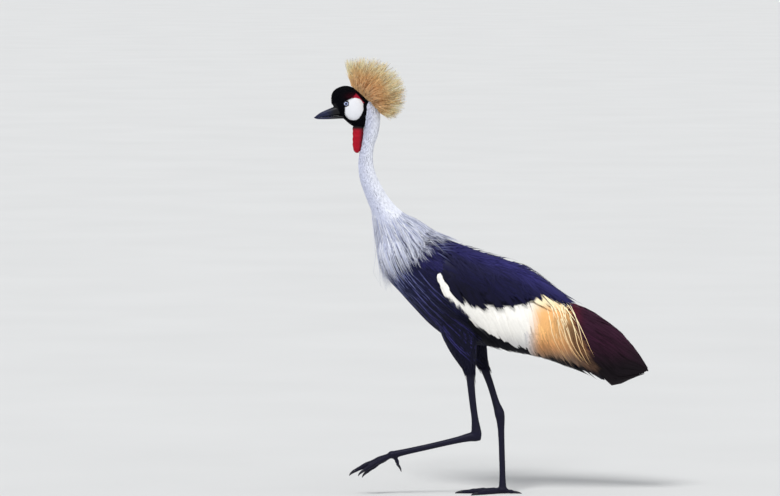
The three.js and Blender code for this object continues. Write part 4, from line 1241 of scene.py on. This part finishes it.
def make_body_coats(ground):
    slate = feather_material("slate coat", 0.55, 0.35, 6, 0.3, 0.04, (0.55, 0.6, 1), 0.14)
    pearl = feather_material("pearl coat", 0.62, 0.12, 6, 0.2, 0.05, (0.95, 0.95, 1), 0.25)
    velvet = feather_material("velvet cap", 0.85, 0.5, 6, 0.4, 0.02, (0.5, 0.55, 0.8), 0.05)

    def on_back(points):
        s, h = body_place(points)
        free = ~is_neck(points) & ~over_wing(points)
        return free & (h > 20) & (s > 0) & (s < 560) & (points[:, 2] > COAT_BOTTOM)

    def below(points):
        s, h = body_place(points)
        free = ~is_neck(points) & ~is_head(points) & ~over_wing(points)
        return free & (h <= 20) & (points[:, 2] > FEATHERED_TO)

    def capped(points):
        x, y, z = points.T
        side = np.abs(y)
        bare_cheek = (cheek_share(points) < 1.03) & (side > BILL_HALF)
        bill = (x < -343) & (z < 941) & (side < BILL_HALF)
        free = ~bare_cheek & ~bill & (from_eye(points) >= EYE_RING) & (red_share(points) < 0.5)
        return is_head(points) & free

    def even(size):
        return lambda roots: np.full(len(roots), size)

    def up_thigh(low, high):
        return lambda roots: mix(low, high, smooth(310, 400, roots[:, 2]))

    def along_neck(top, base):
        return lambda roots: mix(top, base, neck_share(roots))

    make_coat("feathers_back", ground, 4.0, on_back, 41, down_body, even(34), even(2.3),
              BACK_LIFTS, back_colour, slate, "slate_feathers", 0.3)
    make_coat("feathers_belly_and_thighs", ground, 4.4, below, 42, down_body, up_thigh(16, 30),
              up_thigh(1.6, 3.0), (0.3, 2.4, 3.0, 3.2), body_colour, slate, "slate_feathers", 0.3)
    make_coat("feathers_neck", ground, 2.3, is_neck, 43, down_neck, along_neck(11, 26), along_neck(1.3, 2.2),
              (0.2, 1.7, 2.3, 2.5), neck_colour, pearl, "pearl_feathers", 0.05)
    make_coat("feathers_head", ground, 1.5, capped, 44, back_of_head,
              lambda roots: mix(4.5, 7.5, smooth(940, 965, roots[:, 2])), even(0.75),
              (0.1, 1.3, 1.9, 2.0), head_colour, velvet, "cap", 0.4)


def back_colour(points):
    """The back: navy lightened a little by a painted highlight, with the neck's pale coat running out over
    the shoulders.
    """
    rng = np.random.default_rng(46)
    ragged = np.repeat(rng.uniform(-0.25, 0.25, len(points) // BACK_STATIONS), BACK_STATIONS)
    pale = np.clip(pale_share(points) + ragged * (pale_share(points) > 0.02), 0, 1)[:, None]
    return mix(mix(NAVY, NAVY_HIGHLIGHT, 0.3), mix(PEARL, PEARL_SHADE, 0.5), pale)


# The crown of stiff bristles
def make_crown():
    """Tufts of stiff, twisted bristles that spread as a fan from a narrow seat behind the cap."""
    rng = np.random.default_rng(51)
    tufts = 520
    each = 6
    stations = 9
    count = tufts * each
    axis = np.array([0.77, 0.0, 0.64])
    frontward = np.array([-0.64, 0.0, 0.77])
    most = math.radians(CROWN_SPREAD)
    cos = mix(1, math.cos(most), (np.arange(tufts) + 0.5) / tufts)
    sin = np.sqrt(1 - cos**2)
    turn = np.arange(tufts) * math.pi * (3 - math.sqrt(5))
    place = np.stack([cos, sin * np.cos(turn), sin * np.sin(turn)], 1)
    place = np.repeat(place, each, axis=0) + rng.normal(0, 0.03, (count, 3))
    direction = unit(axis * place[:, :1] + frontward * place[:, 1:2] + ACROSS * place[:, 2:])
    angle = np.degrees(np.arctan2(direction[:, 2], direction[:, 0]))
    reach = np.interp(angle, CROWN_REACH[:, 0], CROWN_REACH[:, 1])
    shorter = np.where(rng.random(tufts) < 0.3, rng.uniform(0.6, 0.9, tufts), rng.uniform(0.92, 1.0, tufts))
    reach = reach * np.repeat(shorter, each) * rng.uniform(0.94, 1.02, count)
    middle = (CROWN_SEAT_FRONT + CROWN_SEAT_REAR) / 2
    tip = middle + direction * reach[:, None]
    tip[:, 1] *= CROWN_NARROWING
    share = np.clip(0.5 - 0.48 * place[:, 1] / math.sin(most) + rng.normal(0, 0.015, count), 0, 1)
    domed = axis * (2 + 3 * np.sin(math.pi * share))[:, None]
    root = mix(CROWN_SEAT_FRONT, CROWN_SEAT_REAR, share[:, None]) + domed
    root[:, 1] = np.clip(tip[:, 1] / 58 * 9 + rng.normal(0, 1.2, count), -10, 10)
    t = np.linspace(0, 1, stations)[None, :, None]
    bend = rng.normal(0, 1, (count, 1, 3)) * 2.0
    spine = mix(root[:, None], tip[:, None], t) + bend * np.sin(math.pi * t) * t
    curl = rng.normal(0, 1, (count, 1, 3)) * 3.0
    spine = spine + curl * smooth(0.6, 1, t) * (t - 0.6)
    along = unit(tip - root)
    side = unit(np.cross(along, rng.normal(0, 1, (count, 3))))
    twist = t * rng.uniform(3, 6, (count, 1, 1))
    other = np.cross(along, side)
    up = side[:, None] * np.cos(twist) + other[:, None] * np.sin(twist)
    kind = np.repeat(rng.random(tufts), each)[:, None, None]
    from_seat = np.hypot(spine[..., :1] - middle[0], spine[..., 2:] - middle[2]) / 104
    body = mix(STRAW_DEEP, STRAW, smooth(0.35, 0.8, from_seat + rng.uniform(-0.1, 0.1, (count, 1, 1))))
    pale = np.where(kind > 0.5, 0.95, 0.25) * smooth(0.45, 0.8, from_seat)
    colours = mix(body, STRAW_PALE, pale)
    colours = mix(colours, STRAW_DARK, np.where(kind < 0.16, 0.7, 0.0) * smooth(0.5, 0.75, t))
    fleck = (rng.random((count, stations, 1)) < 0.07) & (t > 0.5) & (kind < 0.6)
    colours = np.where(fleck, FLECK, colours)
    colours = np.where((t > 0.97) & (rng.random((count, 1, 1)) < 0.35), FLECK, colours)
    half = shaped(rng.uniform(0.42, 0.72, count), [1.3, 1, 0.9, 0.75, 0.3], stations)
    material = feather_material("straw bristles", 0.42, 0.15, 6, 0.2, 0.6, (1, 0.9, 0.62), 0.4)
    piece = coat_piece("crown_bristles", spine, up, half, colours, material, "crown_bristles")
    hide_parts("crown")


# Bill, eyes, wattle and claws
def horn_material(name, roughness):
    """Horn: its painted colour with fine lines along it and a soft shine."""
    material, tree = plain_material(name, roughness, 0.3)
    stretch = add(tree, "Mapping", {"Vector": spots(tree), "Scale": (60, 420, 420)})
    grain = add(tree, "TexNoise", {"Vector": stretch, "Scale": 1.0, "Detail": 4.0})
    shade_painted(tree, ranged(tree, grain, 0.6, 1.7, 0.3, 0.75))
    shade(tree, {"Roughness": ranged(tree, grain, roughness - 0.08, roughness + 0.12)})
    emboss(tree, grain, 0.3, 0.3)
    return material


def make_bill():
    horn = horn_material("bill horn", 0.42)
    upper, lower = [upright_rings(table, 40, 50, past=8, power=0.9) for table in (BILL_UPPER, BILL_LOWER)]
    for hand in (LEFT, RIGHT):
        nostril = NOSTRIL * np.array([1, hand, 1])
        reach = np.linalg.norm((upper - nostril) / NOSTRIL_SIZE, axis=-1)
        upper[..., 1] -= hand * 2.0 * smooth(1, 0.2, reach)
    for part, form in (("upper", upper), ("lower", lower)):
        bill = mesh_piece(f"bill_{part}_horn", *loft(form))
        paint(bill, mix(HORN, VELVET, step(-378, -350, points_of(bill)[:, 0])))
        finished(bill, horn, "horn", f"bill_{part}")


def make_eyes():
    """Pale iris, dark pupil and a clear wet surface, with lids of dark skin round it."""
    material, tree = plain_material("eye", 0.15, 0.3)
    shade(tree, {"Coat Weight": 0.35, "Coat Roughness": 0.02})
    shade_painted(tree, mottle(tree, 900, 0.8, 1.15))
    lid_skin = horn_material("lid skin", 0.6)
    for side, hand in SIDES:
        centre = np.array([EYE["x"], hand * EYE["y"], EYE["z"]])
        turned = ball((0, 0, 0), (1, 1, 1), 64, 64)[..., [1, 0, 2]]
        eye = mesh_piece(f"eye_{side}_ball", *loft(centre + turned * EYE["radius"] * np.array([1, hand, 1])))
        off = from_eye(points_of(eye))
        colours = mix(IRIS_INNER, IRIS_OUTER, step(2.6, 4.4, off))
        colours = mix(VELVET, colours, step(2.45, 2.75, off))
        paint(eye, mix(colours, VELVET, step(4.9, 5.3, off)))
        finished(eye, material, "eye", f"eye_{side}")
        make_lid(f"eye_{side}_lids", centre, hand, lid_skin)


def make_lid(name, centre, hand, material):
    """A ring of skin round the eye, heavier above than below."""
    turn = full_turn(72)[:, None]
    around = full_turn(14)
    heavy = 1.5 + 0.5 * np.clip(np.sin(turn), 0, 1)
    reach = EYE["radius"] - 0.9 + np.cos(around) * heavy * 0.8
    out = 3.6 + np.sin(around) * heavy - 0.9 * np.abs(np.cos(turn)) ** 3
    away = [reach * np.cos(turn) * 1.06, hand * out, reach * np.sin(turn) * 0.94]
    places = np.arange(out.size).reshape(out.shape)
    following = np.roll(places, -1, axis=1)
    faces = np.stack([places, following, np.roll(following, -1, axis=0), np.roll(places, -1, axis=0)], -1)
    faces = faces.reshape(-1, 4)[:, ::hand]
    lid = mesh_piece(name, centre + np.stack(away, -1).reshape(-1, 3), faces)
    paint(lid, LID)
    return finished(lid, material, "cap")


def make_wattle():
    """Two soft lobes of bare red skin, with folds down them and a rounded end."""
    material, tree = plain_material("wattle skin", 0.5, 0.2)
    shade_painted(tree, mottle(tree, 70, 0.7, 1.2))
    emboss(tree, add(tree, "TexVoronoi", {"Vector": spots(tree), "Scale": 520}), 0.5, 0.5)
    sides, steps = 48, 60
    angle = full_turn(sides)[None, :, None]
    t = np.linspace(0, 1, steps)[:, None, None]
    fold = 1 + 0.05 * np.sin(angle * 7 + t * 4) + 0.04 * np.sin(t * 34 + np.cos(angle * 2) * 2)
    lobes = []
    for hand in (LEFT, RIGHT):
        rings = limb_rings(WATTLE * np.array([1, hand, 1, 1, 1]), sides, steps)
        middle = rings.mean(axis=1, keepdims=True)
        lobes.append(loft(middle + (rings - middle) * fold))
    wattle = mesh_piece("wattle_skin", *one_mesh(lobes))
    x, _, z = points_of(wattle).T
    # Painted shade: the red darkens towards the lobes' rear edge and their top.
    rear = step(-296, -286, x) * 0.85 + step(884, 896, z) * 0.6
    painted = mix(SCARLET, SCARLET_DEEP, np.clip(rear, 0, 1))
    paint(wattle, mix(painted, VELVET, step(873, 884, z)))
    finished(wattle, material, "wattle", "wattle")


def make_claws():
    """Curved claws; those of the standing foot end on the floor."""
    horn = horn_material("claw horn", 0.4)
    share, drop, width = CLAW_FORM.T
    for side, foot in FEET.items():
        for name, toe in foot["toes"].items():
            _, end, way, across, down = toe_stations(foot, toe)
            curl = 7.0 if foot["raised"] else end[2] - 0.7
            thick = (width * (toe[2] * 0.6))[:, None]
            middle = end + way * (CLAW_LENGTH * share)[:, None] + down * (curl * drop)[:, None]
            rings = limb_rings(np.hstack([middle, thick, thick * 0.8]), 20, 30, 0, across)
            if not foot["raised"]:
                rings[..., 2] = np.maximum(rings[..., 2], FLOOR_GAP)
            claw = mesh_piece(f"claw_{side}_{name}_horn", *loft(rings))
            paint(claw, CLAW)
            finished(claw, horn, "horn", f"claw_{side}_{name}")


def make_tail():
    """A short fan of dark tail feathers between the folded wings and under them."""
    material = feather_material("tail feathers", 0.6, 0.35, 8, 0.3, 0.0, (0.7, 0.7, 1), 0.1)
    count, stations = 12, 10
    u = np.linspace(-1, 1, count)
    depth = 3 * np.abs(u)
    root = body_point(540, -9 - depth, u * 12)
    tip = body_point(655 - 14 * np.abs(u), -46 - depth * 3, u * 15)
    t = np.linspace(0, 1, stations)
    layer = (1.6 * (np.arange(count) % 2))[:, None, None]
    spine = mix(root[:, None], tip[:, None], t[:, None]) + RISE * layer * t[:, None]
    up = np.repeat(unit(RISE + 0.5 * ACROSS * u[:, None])[:, None], stations, axis=1)
    half = np.full((count, 1), 7.0) * np.interp(t, [0, 0.3, 0.85, 1], [0.6, 1, 0.9, 0.2])
    colours = np.broadcast_to(NAVY_DEEP, spine.shape)
    across = ((-1, -0.1), (0, 0.1), (1, -0.1))
    coat_piece("feathers_tail", spine, up, half, colours, material, "black_feathers", across, True)


# Stage, light and camera
def make_stage():
    """A pale floor, a soft sky, and two broad soft lights."""
    far = 2e5
    corners = np.array([[-far, -far, 0], [far, -far, 0], [far, far, 0], [-far, far, 0]])
    floor = mesh_piece("floor", corners - SHIFT, [[0, 1, 2, 3]])
    material, tree = plain_material("pale floor", 0.85, 0.1)
    cloud = add(tree, "TexNoise", {"Vector": spots(tree), "Scale": 1.5})
    ramp = add(tree, "ValToRGB", {"Fac": cloud})
    for element, colour in zip(ramp.color_ramp.elements, ((0.66, 0.66, 0.65, 1), (0.72, 0.72, 0.71, 1))):
        element.color = colour
    shade(tree, {"Base Color": ramp})
    floor.data.materials.append(material)
    world = bpy.data.worlds.new("studio")
    world.use_nodes = True
    sky = world.node_tree.nodes["Background"]
    feed(world.node_tree, sky, {"Color": (0.92, 0.95, 1.0, 1), "Strength": 0.52})
    bpy.context.scene.world = world
    for name, strength, width, turn in (
        ("soft key", 2.2, 20, (38, 0, -24)),
        ("soft fill", 0.6, 50, (62, 0, 62)),
    ):
        lamp = bpy.data.lights.new(name, "SUN")
        lamp.energy = strength
        lamp.angle = math.radians(width)
        holder = bpy.data.objects.new(name, lamp)
        holder.rotation_euler = [math.radians(a) for a in turn]
        bpy.context.scene.collection.objects.link(holder)


def make_camera():
    """The photo's view: from the bird's left, a little above its middle."""
    camera = bpy.data.cameras.new("camera")
    camera.lens = 269.0
    camera.sensor_width = 36.0
    camera.clip_end = 1000
    holder = bpy.data.objects.new("camera", camera)
    height = math.radians(3.6)
    away = np.array([0.0, -math.cos(height), math.sin(height)]) * 14
    holder.location = (np.array([-219.4, 0.0, 592.6]) + SHIFT) * MM + away
    holder.rotation_euler = Vector(-away).to_track_quat("-Z", "Y").to_euler()
    bpy.context.scene.collection.objects.link(holder)
    bpy.context.scene.camera = holder
    bpy.context.scene.view_settings.view_transform = "Standard"


def make_crane():
    skin = make_skin()
    skin_marks(skin)
    replaced = ["torso", "head", "tail", "neck_upper", "neck_middle", "neck_lower"]
    for side, _ in SIDES:
        replaced += [f"{part}_{side}" for part in ("wing", "thigh", "shank", "tarsus", "foot")]
    finished(skin, skin_material(), "leg_skin", *replaced)
    tree = BVHTree.FromObject(skin, bpy.context.evaluated_depsgraph_get())
    make_body_coats((skin, tree))
    make_wings()
    make_neck_plumes(tree)
    make_breast_plumes(skin, tree)
    make_crown()
    make_bill()
    make_eyes()
    make_wattle()
    make_claws()
    make_tail()


make_camera()
make_stage()
make_crane()
